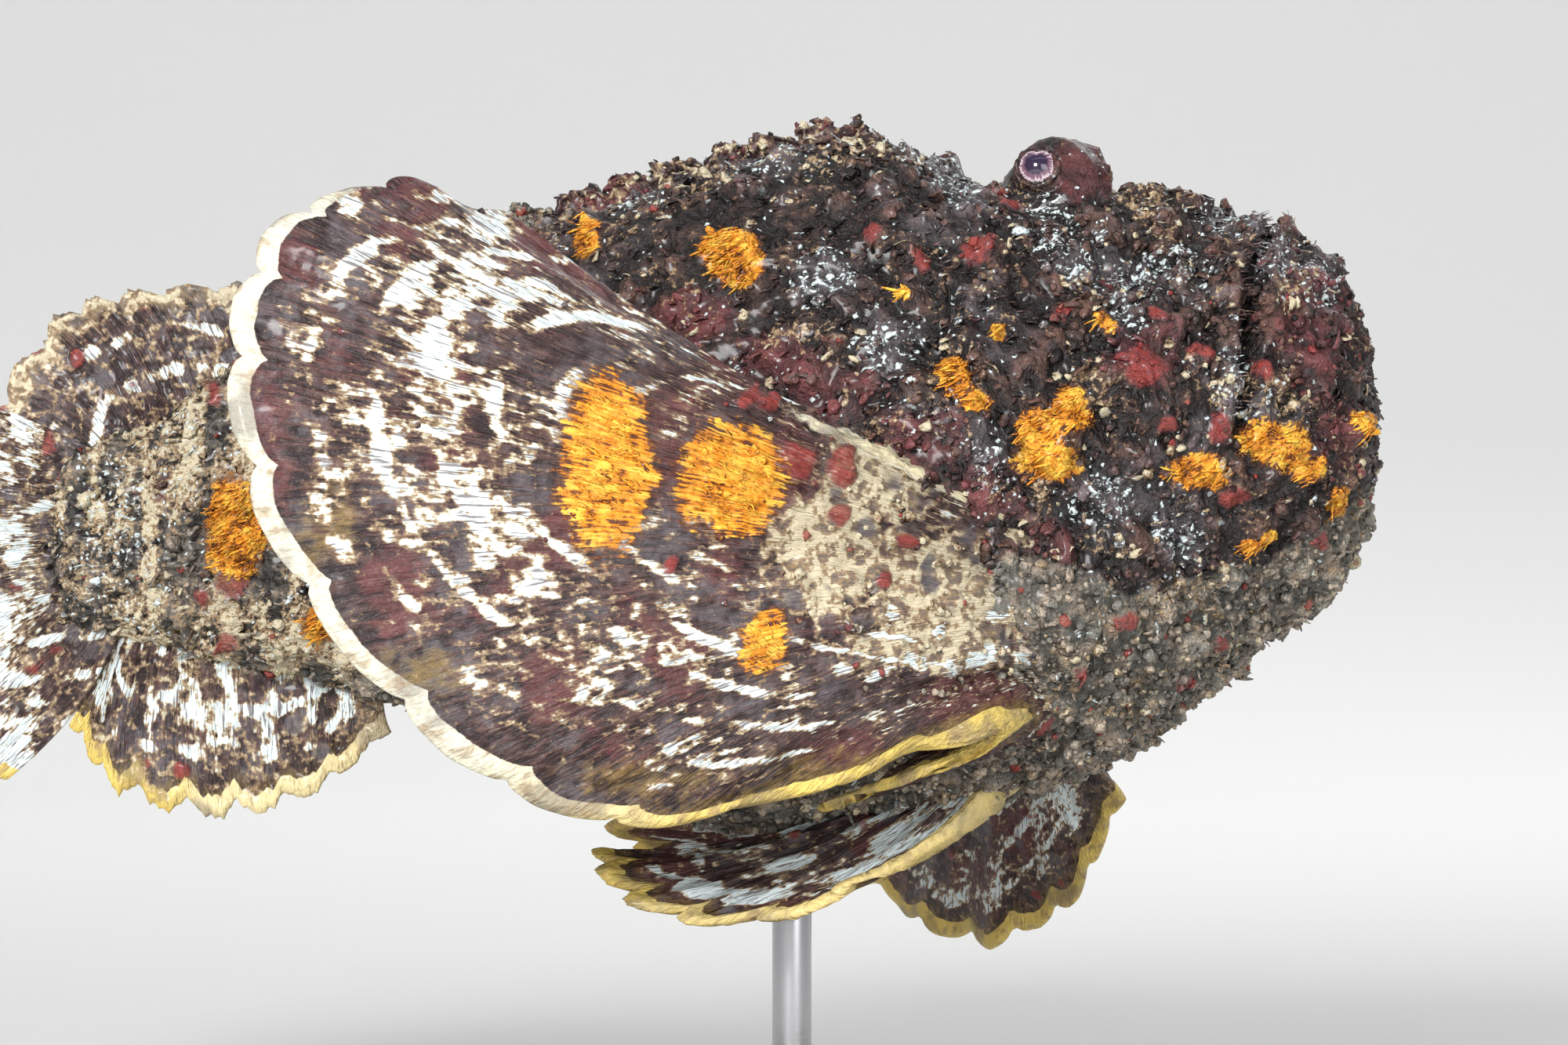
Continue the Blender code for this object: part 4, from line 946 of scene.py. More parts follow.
def fin_material(skin, fins):
    """Ribbed fin skin: white bands broken into streaks along the rays, with a pale margin and painted light and
    shade by relief.
    """
    paint = Finish("stonefish_fins", coat_weight=0.22, coat_roughness=0.18)
    fan = paint.map_place("fan")
    broad, mid, fine = paint.field(11.0), paint.field(3.2), paint.field(1.2, detail=4.0)
    streak = paint.field(0.9, detail=3.0, distortion=0.5, place=paint.stretched((1.0, 0.24, 1.0), fan))
    hair = paint.field(0.55, detail=2.0, distortion=0.3, place=paint.stretched((1.0, 0.12, 1.0), fan))
    raised = paint.mark("raised")

    colour = paint.coat(
        paint.step(paint.sum_of((streak, 0.6), (mid, 0.4)), 0.3, 0.85), fins.ground, fins.brown
    )
    haze = paint.sum_of((broad, 0.55), (mid, 0.45), (paint.mark("maroon"), -0.2))
    colour = paint.coat(paint.spread(paint.step(haze, 0.36, 0.7), 0.0, 0.7), colour, skin.slate)
    blotch = paint.sum_of((paint.mark("maroon"), 0.6), (streak, 0.25), (fine, 0.2))
    colour = paint.coat(paint.spread(paint.step(blotch, 0.55, 0.85), 0.0, 0.6), colour, skin.maroon)
    tint = paint.sum_of((paint.mark("olive"), 1.0), (mid, 0.45), (streak, 0.35))
    colour = paint.coat(paint.spread(paint.step(tint, 0.55, 1.25), 0.0, 0.85), colour, fins.olive)
    # Painted shade between the fin's ridges and lumps, and painted light on them.
    colour = paint.shaded(colour, paint.spread(paint.step(raised, 0.0, 0.85), 0.6, 1.25))

    cream = paint.mark("cream")
    under = paint.sum_of((cream, 0.8), (mid, 0.3), (fine, 0.3))
    colour = paint.coat(paint.spread(paint.step(under, 0.6, 1.0), 0.0, 0.42), colour, skin.taupe)
    net = paint.seams(4.4, 0.2)
    mottle = paint.sum_of((cream, 0.50), (fine, 0.48), (mid, 0.26), (net, 0.26))
    colour = paint.coat(paint.step(mottle, 0.78, 0.94), colour, skin.tan)
    colour = paint.coat(paint.step(mottle, 0.92, 1.08), colour, skin.cream)
    spots = paint.flecks(5.6, 0.40, paint.sum_of((cream, 0.6), (mid, 0.0)))
    colour = paint.coat(paint.spread(spots, 0.0, 0.85), colour, skin.slate)

    white = paint.mark("white")
    patch = paint.field(2.3, detail=3.0, place=paint.stretched((1.0, 0.8, 1.0), fan))
    bands = paint.sum_of((white, 0.80), (patch, 0.45), (streak, 0.22), (fine, 0.20))
    colour = paint.coat(paint.spread(paint.step(bands, 0.84, 0.93), 0.0, 0.85), colour, skin.tan)
    colour = paint.coat(paint.step(bands, 0.93, 1.0), colour, skin.cream)
    colour = paint.coat(paint.step(bands, 0.97, 1.06), colour, skin.white)
    cut = paint.math("MULTIPLY", paint.step(hair, 0.60, 0.80), paint.step(white, 0.15, 0.4))
    colour = paint.coat(paint.spread(cut, 0.0, 0.8), colour, fins.brown)
    colour = add_patches(paint, colour, skin, fine, mid, streak)

    margin = paint.coat(paint.mark("pale"), fins.margin_cream, fins.margin_yellow)
    margin = paint.coat(paint.spread(paint.step(broad, 0.45, 0.8), 0.0, 0.55), margin, skin.slate)
    # A tan stain on the margin: partly random, and partly painted shade in its creases, where the relief is low.
    stain_and_crease_shade = paint.sum_of((mid, 0.6), (streak, 0.4), (raised, -0.3))
    margin = paint.coat(paint.spread(paint.step(stain_and_crease_shade, 0.36, 0.76), 0.0, 0.7), margin, skin.tan)
    edge = paint.sum_of((paint.mark("rim"), 1.0), (fine, 0.2), (mid, 0.12))
    colour = paint.coat(paint.step(edge, 0.56, 0.78), colour, margin)

    roughness = paint.spread(fine, 0.3, 0.6)
    height = paint.sum_of((fine, 0.4), (streak, 0.55), (hair, 0.3))
    return paint.finish(colour, roughness, height, 0.5)


def eye_material(eyes):
    """The glossy eyeball: a dark violet pupil in a lilac ring with pinkish white teeth."""
    paint = Finish("stonefish_eye", coat_weight=1.0, coat_roughness=0.04)
    ring, turn = paint.mark("ring"), paint.mark("turn")
    teeth = paint.add(
        "ShaderNodeTexNoise", {"W": turn, "Scale": 6.0, "Detail": 3.0}, noise_dimensions="1D"
    )
    flecks = paint.noise(0.35, detail=3.0)
    wavy = paint.sum_of((ring, 1.0), (teeth.outputs[0], 0.9), (flecks, 0.3))
    pupil, iris = eyes.pupil_radius / MM, eyes.iris_radius / MM
    inner = paint.coat(paint.step(flecks, 0.60, 0.70), eyes.pupil, tuple(3.0 * c for c in eyes.pupil))
    colour = paint.coat(paint.step(wavy, pupil + 0.42, pupil + 0.66), inner, eyes.lilac)
    bright = paint.step(paint.sum_of((wavy, 1.0), (teeth.outputs[0], 1.1)), pupil + 1.5, pupil + 2.0)
    colour = paint.coat(bright, colour, eyes.iris)
    colour = paint.coat(paint.step(wavy, iris + 0.42, iris + 0.66), colour, eyes.lid)
    roughness = paint.spread(flecks, 0.12, 0.2)
    return paint.finish(colour, roughness, flecks, 0.01)


def wood_material(stand):
    """Oiled dark wood, its grain along the base with fine pores."""
    paint = Finish("stand_wood", coat_weight=0.2, coat_roughness=0.3)
    place = paint.stretched((0.12, 1.0, 1.0))
    warp = paint.noise(9.0, detail=3.0, place=place)
    lines = paint.noise(stand.grain_size / MM, detail=5.0, roughness=0.62, distortion=0.8, place=place)
    pores = paint.noise(0.5, detail=2.0, place=paint.stretched((0.06, 1.0, 1.0)))
    share = paint.step(paint.sum_of((lines, 0.8), (warp, 0.4)), 0.46, 0.76)
    colour = paint.coat(share, stand.wood_dark, stand.wood_light)
    colour = paint.shaded(colour, paint.spread(paint.step(pores, 0.33, 0.5), 0.55, 1.05))
    height = paint.sum_of((pores, 1.0), (lines, 0.5))
    return paint.finish(colour, paint.spread(lines, 0.32, 0.55), height, 0.08)


def steel_material(stand):
    """Brushed steel, its scratches round the rod."""
    paint = Finish("stand_steel", metallic=1.0)
    scratches = paint.noise(0.35, detail=3.0, place=paint.stretched((0.08, 0.08, 1.0)))
    smears = paint.noise(7.0)
    steel = tuple(stand.steel)
    colour = paint.coat(smears, tuple(0.82 * c for c in steel), steel)
    roughness = paint.spread(paint.sum_of((scratches, 0.7), (smears, 0.3)), 0.2, 0.42)
    return paint.finish(colour, roughness, scratches, 0.02)


def floor_material(stage):
    """Pale matt paint with a faint grain, for the floor and backdrop."""
    paint = Finish("studio_floor")
    grain = paint.noise(5.0)
    clouds = paint.noise(600.0)
    floor = tuple(stage.floor)
    colour = paint.coat(clouds, tuple(0.96 * c for c in floor), floor)
    return paint.finish(colour, paint.spread(grain, 0.75, 0.9), grain, 0.05)


# Skin


def column_angles():
    """The angle of each column round the body, closer together over the eyes."""
    turns = np.linspace(-math.pi / 2, 1.5 * math.pi, 7201)
    beside = np.abs(np.abs(turns - math.pi / 2) - EYE_ANGLE) / EYE_ANGLE_SPREAD
    crowding = 1.0 + EYE_CROWDING * np.exp(-(beside**2))
    passed = np.concatenate(([0.0], np.cumsum(crowding[:-1])))
    wanted = np.linspace(0.0, passed[-1], SKIN_COLUMNS, endpoint=False)
    return np.interp(wanted, passed, turns)


def ring_x(share):
    """The x of a ring of the skin at a share of the rings from the tail's end to the chin."""
    first, last = RING_PLACES[0][0], RING_PLACES[-1][0]
    if share < first:
        return TAIL_END + TAIL_CAP * (1 - math.cos(math.pi / 2 * share / first))
    if share > last:
        return CHIN_END - CHIN_CAP * (1 - math.cos(math.pi / 2 * (1 - share) / (1 - last)))
    return along_line(RING_PLACES, share)


def skin_base(x, angle):
    """A point of the skin's flesh, its ring bent to run along the mouth."""
    point = body_point(x, angle)
    if abs(x - MOUTH_MIDDLE_X) < 3 * MOUTH_REACH:
        shift = (mouth_x(point.z) - MOUTH_MIDDLE_X) * bump_at(x - MOUTH_MIDDLE_X, MOUTH_REACH)
        shift *= smooth_step(-5.0, 12.0, point.z)
        point = body_point(x + shift, angle)
    return with_socket(with_turret(point))


def is_wart_free(point):
    """Whether a large wart at point would stand where a fin or an eye grows."""
    beside = Vector((point.x, abs(point.y), point.z))
    is_on_back = point.z > body_section(point.x)[0] - BACK_FIN_HALF_WIDTH and point.x < BACK_FIN_START_X
    return (
        point.x < TAIL_FIN_START_X
        or point.x > CHIN_TIP_X
        or (beside.y < BACK_FIN_HALF_WIDTH and (is_on_back or point.x < UNDER_FINS_START_X))
        or any((beside - Vector(place)).length < reach for place, reach in WART_FREE_ZONES)
    )


def large_warts(spacing):
    """A tree of seeded places for large warts, and each one's radius."""
    draw = random.Random(WART_SEED)
    places, radii = [], []
    for _ in range(WART_TRIES):
        x = draw.uniform(TAIL_FIN_START_X, CHIN_TIP_X)
        place = body_point(x, draw.uniform(0.0, 2 * math.pi))
        radius = draw.uniform(*WART_RADII)
        if is_wart_free(place) or any((place - other).length < spacing for other in places):
            continue
        places.append(place)
        radii.append(radius)
    tree = kdtree.KDTree(len(places))
    for k, place in enumerate(places):
        tree.insert(place, k)
    tree.balance()
    return tree, radii


def line_distance(point, line):
    """How far a point lies behind a line of x and z in side view, and the share along it."""
    place = Vector((point.x, point.z))
    best, share = math.inf, 0.0
    for k in range(len(line) - 1):
        start, end = Vector(line[k]), Vector(line[k + 1])
        way = end - start
        along = min(max((place - start).dot(way) / way.length_squared, 0.0), 1.0)
        away = place - (start + way * along)
        if away.length < abs(best):
            side = 1.0 if way.x * away.y - way.y * away.x > 0 else -1.0
            best, share = side * away.length, (k + along) / (len(line) - 1)
    return best, share


def mouth_relief(point, look):
    """Height of the lips and depth of the mouth at a point of the head."""
    open_share = smooth_step(7.0, 16.0, point.z)
    if open_share == 0.0 or abs(point.x - MOUTH_MIDDLE_X) > 20.0:
        return 0.0
    away = point.x - mouth_x(point.z)
    crimp = 1.0 + 0.25 * noise.noise(point / 2.2)
    lips = look.lip_height / MM * crimp * bump_at(abs(away) - LIP_SET, LIP_HALF_WIDTH)
    return open_share * (lips - look.groove_depth / MM * bump_at(away, GROOVE_HALF_WIDTH))


def gill_relief(point, look):
    """The fold along the rear edge of the gill cover."""
    if not 20.0 < point.x < 66.0 or point.z > 46.0 or point.z < -18.0:
        return 0.0
    behind, share = line_distance(point, GILL_LINE)
    ends = smooth_step(0.0, 0.2, share) * smooth_step(1.0, 0.75, share)
    depth = look.gill_fold / MM
    return ends * depth * (0.8 * bump_at(behind + 2.2, 1.8) - bump_at(behind, 1.2))


def skin_relief(point, warts, radii, look, marks):
    """Height of folds, warts and pebbles over the flesh at a point, and its painted shade: light on tops and dark in
    hollows by relief.
    """
    near_eye = min((point - on_side(EYE_PLACE, side)).length for side in (-1, 1))
    calm = 0.12 + 0.88 * smooth_step(5.5, 11.0, near_eye)
    belly = marks["pale"]
    fold = look.fold_height / MM
    bent = point + 2.4 * noise.noise_vector(point / 9.0)
    ridge = 1.0 - 2.8 * abs(noise.noise(bent / 7.0 + Vector((0.0, 7.0, 0.0))))
    creases = 1.0 - 3.0 * abs(noise.noise(bent / 3.4 + Vector((5.0, 0.0, 3.0))))
    folds = fold * (0.6 * ridge + 0.42 * creases) * (1.0 - 0.5 * belly)
    near = noise.voronoi(bent / (look.pebble_size / MM * (1.0 - 0.2 * belly)))[0]
    pebble = smooth_step(0.0, 0.5, near[1] - near[0])
    pebbles = look.pebble_height / MM * (1.0 + 0.6 * belly) * pebble
    _, index, distance = warts.find(point)
    radius = radii[index]
    share = max(1.0 - (distance / (1.25 * radius)) ** 2, 0.0)
    wart = look.wart_height * radius * share**1.7
    knob = 1.3 * smooth_step(0.35, 0.95, marks["red"])
    fur = marks["orange"] * (0.8 + 0.9 * noise.noise(Vector((point.x, point.y, 2.5 * point.z)) / 3.0))
    grain = 0.35 * noise.noise(point / 1.6)
    height = calm * (folds + pebbles + grain) + wart + knob + fur
    # Painted light and shade by relief: high on pebbles, warts, folds and red knobs, low in the hollows between
    # them.
    raised = 0.28 * pebble + 0.35 * share + 0.25 * smooth_step(-0.6, 0.8, folds / fold) + 0.15 * knob
    return height, raised


def make_skin(context):
    """One closed skin over the head, jaw, trunk and tail, with its markings as layers."""
    look = context.scene.stonefish_skin
    bm = bmesh.new()
    bm.loops.layers.uv.new("OFBake")
    bmesh.ops.create_uvsphere(
        bm, u_segments=SKIN_COLUMNS, v_segments=SKIN_RINGS, radius=1.0, calc_uvs=True
    )
    bm = in_fixed_order(bm)
    angles = column_angles()
    for v in bm.verts:
        column = round(math.atan2(v.co.y, v.co.x) / (2 * math.pi) * SKIN_COLUMNS) % SKIN_COLUMNS
        share = 1.0 - math.acos(min(max(v.co.z, -1.0), 1.0)) / math.pi
        v.co = skin_base(ring_x(share), angles[column])
    bmesh.ops.recalc_face_normals(bm, faces=bm.faces)
    bm.normal_update()
    warts, radii = large_warts(look.wart_spacing / MM)
    layers = mark_layers(bm)
    moves = []
    for v in bm.verts:
        marks = body_marks(v.co)
        height, raised = skin_relief(v.co, warts, radii, look, marks)
        lips = mouth_relief(v.co, look)
        gill = gill_relief(v.co, look)
        moves.append(v.normal * (height * (1.0 - 0.5 * smooth_step(0.4, 1.4, abs(lips))) + lips + gill))
        # The lips get painted light, and the line of the mouth and the gill fold get painted shade.
        marks["raised"] = raised + 0.18 * (lips + gill)
        for name, value in marks.items():
            v[layers[name]] = value
    for v, move in zip(bm.verts, moves):
        v.co += move
    bmesh.ops.smooth_vert(
        bm, verts=bm.verts, factor=0.18, use_axis_x=True, use_axis_y=True, use_axis_z=True
    )
    material = skin_material(look)
    return add_piece("skin", bm, material, ("head", "lower_jaw", "trunk", "tail"))


def make_nostrils(context):
    """Four short tubes of skin on the snout, each with a pit."""
    bm = bmesh.new()
    layers = mark_layers(bm)
    wide, narrow = NOSTRIL_RADII
    for side in (-1, 1):
        for x, y in NOSTRIL_PLACES:
            ready = set(bm.verts)
            bmesh.ops.create_cone(
                bm, cap_ends=True, segments=24, radius1=wide, radius2=narrow, depth=2 * NOSTRIL_HEIGHT
            )
            tube = [v for v in bm.verts if v not in ready]
            mouth = max((f for f in bm.faces if tube[0] in f.verts or f.verts[0] in tube),
                        key=lambda face: face.calc_center_median().z)
            bmesh.ops.inset_individual(bm, faces=[mouth], thickness=0.3 * narrow, depth=0.12 * narrow)
            bmesh.ops.inset_individual(
                bm, faces=[mouth], thickness=0.18 * narrow, depth=-0.5 * NOSTRIL_HEIGHT
            )
            tube = [v for v in bm.verts if v not in ready]
            angle = math.acos(min(1.0, y / body_section(x)[2]) ** (SECTION_POWER / 2))
            bmesh.ops.transform(bm, verts=tube, matrix=turned_to(on_side(NOSTRIL_LEAN, side)))
            bmesh.ops.translate(bm, verts=tube, vec=on_side(body_point(x, angle), side))
    sides = [edge for edge in bm.edges if edge.calc_length() > NOSTRIL_HEIGHT]
    bmesh.ops.subdivide_edges(bm, edges=sides, cuts=7, use_grid_fill=True)
    for v in bm.verts:
        v.co += 0.22 * noise.noise_vector(v.co / 1.3)
        for name, value in body_marks(v.co).items():
            v[layers[name]] = value
        v[layers["raised"]] = 0.5
    bmesh.ops.recalc_face_normals(bm, faces=bm.faces)
    return add_piece("nostrils", bm, bpy.data.materials["stonefish_skin"])


# Eyes


def make_eye(name, side, material, look, node):
    """One eyeball with a bulging cornea and its notched pupil marked on it."""
    bm = bmesh.new()
    bmesh.ops.create_uvsphere(bm, u_segments=96, v_segments=64, radius=EYE_RADIUS)
    bm = in_fixed_order(bm)
    ring = bm.verts.layers.float.new("ring")
    turn = bm.verts.layers.float.new("turn")
    outward = on_side(EYE_OUTWARD, side).normalized()
    up = (Vector((0.0, 0.0, 1.0)) - outward * outward.z).normalized()
    across = outward.cross(up)
    bmesh.ops.transform(bm, verts=bm.verts, matrix=turned_to(outward))
    iris = look.iris_radius / MM
    for v in bm.verts:
        along = v.co.dot(outward)
        aside = v.co - outward * along
        angle = math.atan2(aside.dot(up), aside.dot(across))
        notch = 0.95 * bump_at(angle - math.pi / 2, 0.3) * smooth_step(0.6, 1.6, aside.length)
        v[ring] = aside.length + notch if along > 0 else EYE_RADIUS
        v[turn] = angle
        if along > 0:
            bulge = max(1.0 - (aside.length / iris) ** 2, 0.0)
            v.co += outward * look.cornea_height / MM * bulge**1.5
    bmesh.ops.translate(bm, verts=bm.verts, vec=on_side(EYE_PLACE, side))
    return add_piece(name, bm, material, (node,))


def make_eye_rims(context):
    """A ring of folded skin round each eye."""
    bm = bmesh.new()
    layers = mark_layers(bm)
    for side in (-1, 1):
        ready = set(bm.verts)
        ring = bmesh.ops.create_circle(bm, segments=14, radius=EYE_RIM_THICKNESS)["verts"]
        bmesh.ops.rotate(bm, verts=ring, matrix=Matrix.Rotation(math.pi / 2, 3, "X"))
        bmesh.ops.translate(bm, verts=ring, vec=(EYE_RIM_RADIUS, 0.0, 0.0))
        edges = [edge for edge in bm.edges if edge.verts[0] in ring]
        bmesh.ops.spin(
            bm, geom=ring + edges, axis=(0, 0, 1), cent=(0, 0, 0), steps=84, angle=2 * math.pi,
            use_merge=True,
        )
        made = [v for v in bm.verts if v not in ready]
        level = math.sqrt(EYE_RADIUS**2 - EYE_RIM_RADIUS**2)
        bmesh.ops.translate(bm, verts=made, vec=(0.0, 0.0, level))
        bmesh.ops.transform(bm, verts=made, matrix=turned_to(on_side(EYE_OUTWARD, side)))
        bmesh.ops.translate(bm, verts=made, vec=on_side(EYE_PLACE, side))
    bmesh.ops.remove_doubles(bm, verts=bm.verts, dist=0.01)
    for v in bm.verts:
        v.co += 0.3 * noise.noise_vector(v.co / 1.1) + 0.22 * noise.noise_vector(v.co / 0.6)
        v[layers["raised"]] = 0.45 + 0.5 * noise.noise(v.co / 0.9)
        v[layers["maroon"]] = 0.5
    bmesh.ops.recalc_face_normals(bm, faces=bm.faces)
    return add_piece("eye_rims", bm, bpy.data.materials["stonefish_skin"])


# Fins


def fan_points(keys, shares, reaches):
    """Points of a fan for each share across it and each share along that ray, as an array."""
    last = len(keys) - 1
    rows = [(k / last, *keys[k][0], *keys[k][1], *keys[k][2]) for k in range(last + 1)]
    rays = np.array([curve_between(rows, share) for share in shares]).reshape(-1, 3, 3)
    root, middle, tip = rays[:, None, 0], rays[:, None, 1], rays[:, None, 2]
    bend = 2 * middle - (root + tip) / 2
    s = reaches[:, :, None]
    return (1 - s) ** 2 * root + 2 * s * (1 - s) * bend + s * s * tip


def fan_normals(points):
    """The normal of a fan's middle sheet at each of its points."""
    normals = np.cross(np.gradient(points, axis=0), np.gradient(points, axis=1))
    return normals / np.linalg.norm(normals, axis=2, keepdims=True)


def mirrored(keys, lift):
    """Key rays of the opposite side's fin, with its tips raised by lift."""
    return tuple(
        tuple((x, -y, z + lift * share) for (x, y, z), share in zip(ray, (0.0, 0.5, 1.0)))
        for ray in keys
    )


def spiny_dorsal_keys():
    """Key rays of the spiny fin, which lean back along the ridge of the back."""
    made = []
    for k in range(SPINE_COUNT):
        share = k / (SPINE_COUNT - 1)
        x = SPINE_FIRST_X + share * (SPINE_LAST_X - SPINE_FIRST_X)
        proud = curve_between(SPINE_PROUD, share)[0]
        lean = SPINE_SWEEP * (0.9 + 0.2 * math.sin(3.7 * k))
        low = body_section(x)[0] - SPINE_ROOT_DEPTH
        high = body_section(x - lean)[0] + proud
        root = (x, 0.0, low)
        middle = (x - 0.4 * lean, 0.0, low + 0.55 * (high - low))
        tip = (x - lean, SPINE_SWAY * math.sin(2.3 * k), high)
        made.append((root, middle, tip))
    return tuple(made)


def make_fin(name, keys, kind, material, look, node):
    """A fan of rays: a closed sheet with branching ridges, grain and a rolled, scalloped margin."""
    rays, columns, rows, root_half, web_half, notch, fleshy, margin, bands, ruffle = FIN_MAKE_UP[kind]
    wide, long = (rays - 1) * columns, rows
    shares = np.linspace(0.0, 1.0, wide + 1)
    outs = 1.0 - (1.0 - np.linspace(0.0, 1.0, long + 1)) ** 1.25
    wave = np.abs(np.cos(math.pi * shares * (rays - 1)))
    is_lobed = kind in ("pectoral", "far pectoral", "pelvic")
    tatter = (0.15 if is_lobed else 0.5) * notch
    ragged = np.array([tatter * noise.noise(Vector((u * 60.0, 0.0, 5.0))) for u in shares])
    lobes = wave ** (0.55 if is_lobed else 1.0)
    reach = outs[None, :] * (1 - notch * (1 - lobes[:, None]) + ragged[:, None] * outs[None, :] ** 8)
    points = fan_points(keys, shares, reach)
    normals = fan_normals(points)
    lengths = np.cumsum(np.linalg.norm(np.diff(points, axis=1), axis=2), axis=1)
    lengths = np.concatenate((np.zeros((wide + 1, 1)), lengths), axis=1)
    widths = np.linalg.norm(np.diff(points, axis=0), axis=2).sum(axis=0)
    mean_width = float(widths[int(0.7 * long)])
    mean_length = float(lengths[:, -1].mean())

    bm = bmesh.new()
    bmesh.ops.create_grid(bm, x_segments=wide, y_segments=long, size=0.5)
    pushed = bmesh.ops.extrude_face_region(bm, geom=bm.faces[:])["geom"]
    far_face = [item for item in pushed if isinstance(item, bmesh.types.BMVert)]
    bmesh.ops.translate(bm, verts=far_face, vec=(0.0, 0.0, 1.0))
    bm = in_fixed_order(bm)
    layers = mark_layers(bm)
    across_layer, along_layer = bm.verts.layers.float.new("across"), bm.verts.layers.float.new("along")
    is_near = node == "pectoral_fin_right"
    for v in bm.verts:
        i, j = round((v.co.x + 0.5) * wide), round((v.co.y + 0.5) * long)
        face = 2 * v.co.z - 1
        u, out, s = float(shares[i]), float(outs[j]), min(float(reach[i, j]), 1.0)
        point, normal = Vector(points[i, j]), Vector(normals[i, j])
        left = float(lengths[i, -1] - lengths[i, j])
        whole = float(lengths[i, -1] / reach[i, -1]) * (1 - s)
        edge = margin_width(kind, u, margin)
        half = web_half + (root_half - web_half) * (1 - s) ** ROOT_TAPER
        split = smooth_step(0.5, 0.75, s)
        branch = 0.5 + 0.5 * math.cos(4 * math.pi * u * (rays - 1))
        ray = wave[i] ** 4 * (1 - 0.6 * split) + 0.7 * branch**2 * split
        rise = smooth_step(0.4 * fleshy, fleshy + 0.1, s) * smooth_step(0.5 * edge, 2.0 * edge, left)
        half += look.ridge / MM * ray * rise
        half += (
            look.margin_roll / MM * bump_at(left - 0.5 * edge, 0.42 * edge) * (0.75 + 0.5 * noise.noise(point / 5.0))
        )
        half *= math.sqrt(1.0 - max(1.0 - (1.0 - out) / MARGIN_SHARE, 0.0) ** 2) * 0.94 + 0.06
        warty = 1.0 - smooth_step(fleshy, fleshy + 0.25, s)
        side_point = point + normal * face * 2.0
        grain = noise.noise(Vector((u * mean_width / 1.5, s * mean_length / 5.0, face)))
        crumple = noise.noise(side_point / 1.3)
        lumps = noise.noise(side_point / 3.0)
        marks = fin_marks(kind, side_point, u, s, whole, left, edge, bands, is_near)
        half += look.grain / MM * (grain + 0.7 * crumple) * min(1.0, left / 1.5)
        half += warty * (1.4 * max(lumps, -0.2) + 0.6 * crumple)
        half += marks["orange"] * (0.5 + 0.7 * grain) + 0.8 * smooth_step(0.35, 0.95, marks["red"])
        bend = ruffle * math.sin(2 * math.pi * u * (rays - 1) / 2.0 + 2.0 * math.sin(9 * u)) * out**3
        bend += 0.8 * ruffle * noise.noise(point / 16.0) * out
        v.co = point + normal * (face * half + bend)
        # Painted light on the fin's ridges, lumps and grain, and painted shade between them.
        marks["raised"] = 0.35 + 0.35 * ray * rise + 0.35 * lumps * warty + 0.3 * grain + 0.15 * crumple
        for mark, value in marks.items():
            v[layers[mark]] = value
        v[across_layer] = u * mean_width * MM
        v[along_layer] = s * mean_length * MM
    bmesh.ops.recalc_face_normals(bm, faces=bm.faces)
    fan = bm.loops.layers.uv.new("fan")
    for face in bm.faces:
        for loop in face.loops:
            loop[fan].uv = (loop.vert[across_layer], loop.vert[along_layer])
    return add_piece(name, bm, material, (node,))


def make_fins(context):
    """All eight fins."""
    look = context.scene.stonefish_fins
    material = fin_material(context.scene.stonefish_skin, look)
    fins = {
        "pectoral_fin_right": (RIGHT_PECTORAL, "pectoral"),
        "pectoral_fin_left": (LEFT_PECTORAL, "far pectoral"),
        "pelvic_fin_right": (RIGHT_PELVIC, "pelvic"),
        "pelvic_fin_left": (mirrored(RIGHT_PELVIC, LEFT_PELVIC_LIFT), "pelvic"),
        "dorsal_fin_spiny": (spiny_dorsal_keys(), "spiny"),
        "dorsal_fin_soft": (SOFT_DORSAL, "soft"),
        "anal_fin": (ANAL, "anal"),
        "caudal_fin": (CAUDAL, "caudal"),
    }
    for node, (keys, kind) in fins.items():
        make_fin(node.replace("_fin", "_fan"), keys, kind, material, look, node)


# Growths


def numbers_from(items, name, width=1):
    """A property of all of a mesh's items as an array."""
    found = np.empty(len(items) * width, np.float32)
    items.foreach_get(name, found)
    return found.reshape(-1, width) if width > 1 else found


class Host:
    """The surface that growths stand on: its places, normals, markings and unwrap by vertex."""

    def __init__(self, obj):
        mesh = obj.data
        self.places = numbers_from(mesh.vertices, "co", 3)
        self.normals = numbers_from(mesh.vertices, "normal", 3)
        self.marks = {name: numbers_from(mesh.attributes[name].data, "value") for name in MARK_NAMES}
        corners = numbers_from(mesh.loops, "vertex_index").astype(int)
        unwrap = "OFBake" if "OFBake" in mesh.uv_layers else "fan"
        self.unwrap = np.zeros((len(self.places), 2), np.float32)
        self.unwrap[corners] = numbers_from(mesh.uv_layers[unwrap].uv, "vector", 2)
        if unwrap == "fan":
            self.unwrap *= (0.48, 0.98) / self.unwrap.max(axis=0)
            self.unwrap[len(self.places) // 2:, 0] += 0.5
        totals = numbers_from(mesh.polygons, "loop_total").astype(int)
        areas = numbers_from(mesh.polygons, "area")
        self.areas = np.zeros(len(self.places))
        np.add.at(self.areas, corners, np.repeat(areas / totals, totals))
        self.fish = (self.places - np.array((0.0, 0.0, FISH_HEIGHT))) / MM

    def draw_roots(self, count, weights, draw):
        """Seeded vertices for growths to stand on, by area and weight."""
        chances = self.areas * np.maximum(weights, 0.0)
        crowded = count > np.count_nonzero(chances)
        return draw.choice(len(chances), size=count, replace=crowded, p=chances / chances.sum())


def knob_shape():
    """A small wart: a rounded knob, its foot just under zero and its top near one."""
    bm = bmesh.new()
    bmesh.ops.create_uvsphere(bm, u_segments=6, v_segments=5, radius=1.0)
    foot = [v for v in bm.verts if v.co.z < -0.9]
    bmesh.ops.delete(bm, geom=foot, context="VERTS")
    bmesh.ops.holes_fill(bm, edges=bm.edges[:], sides=0)
    return bm


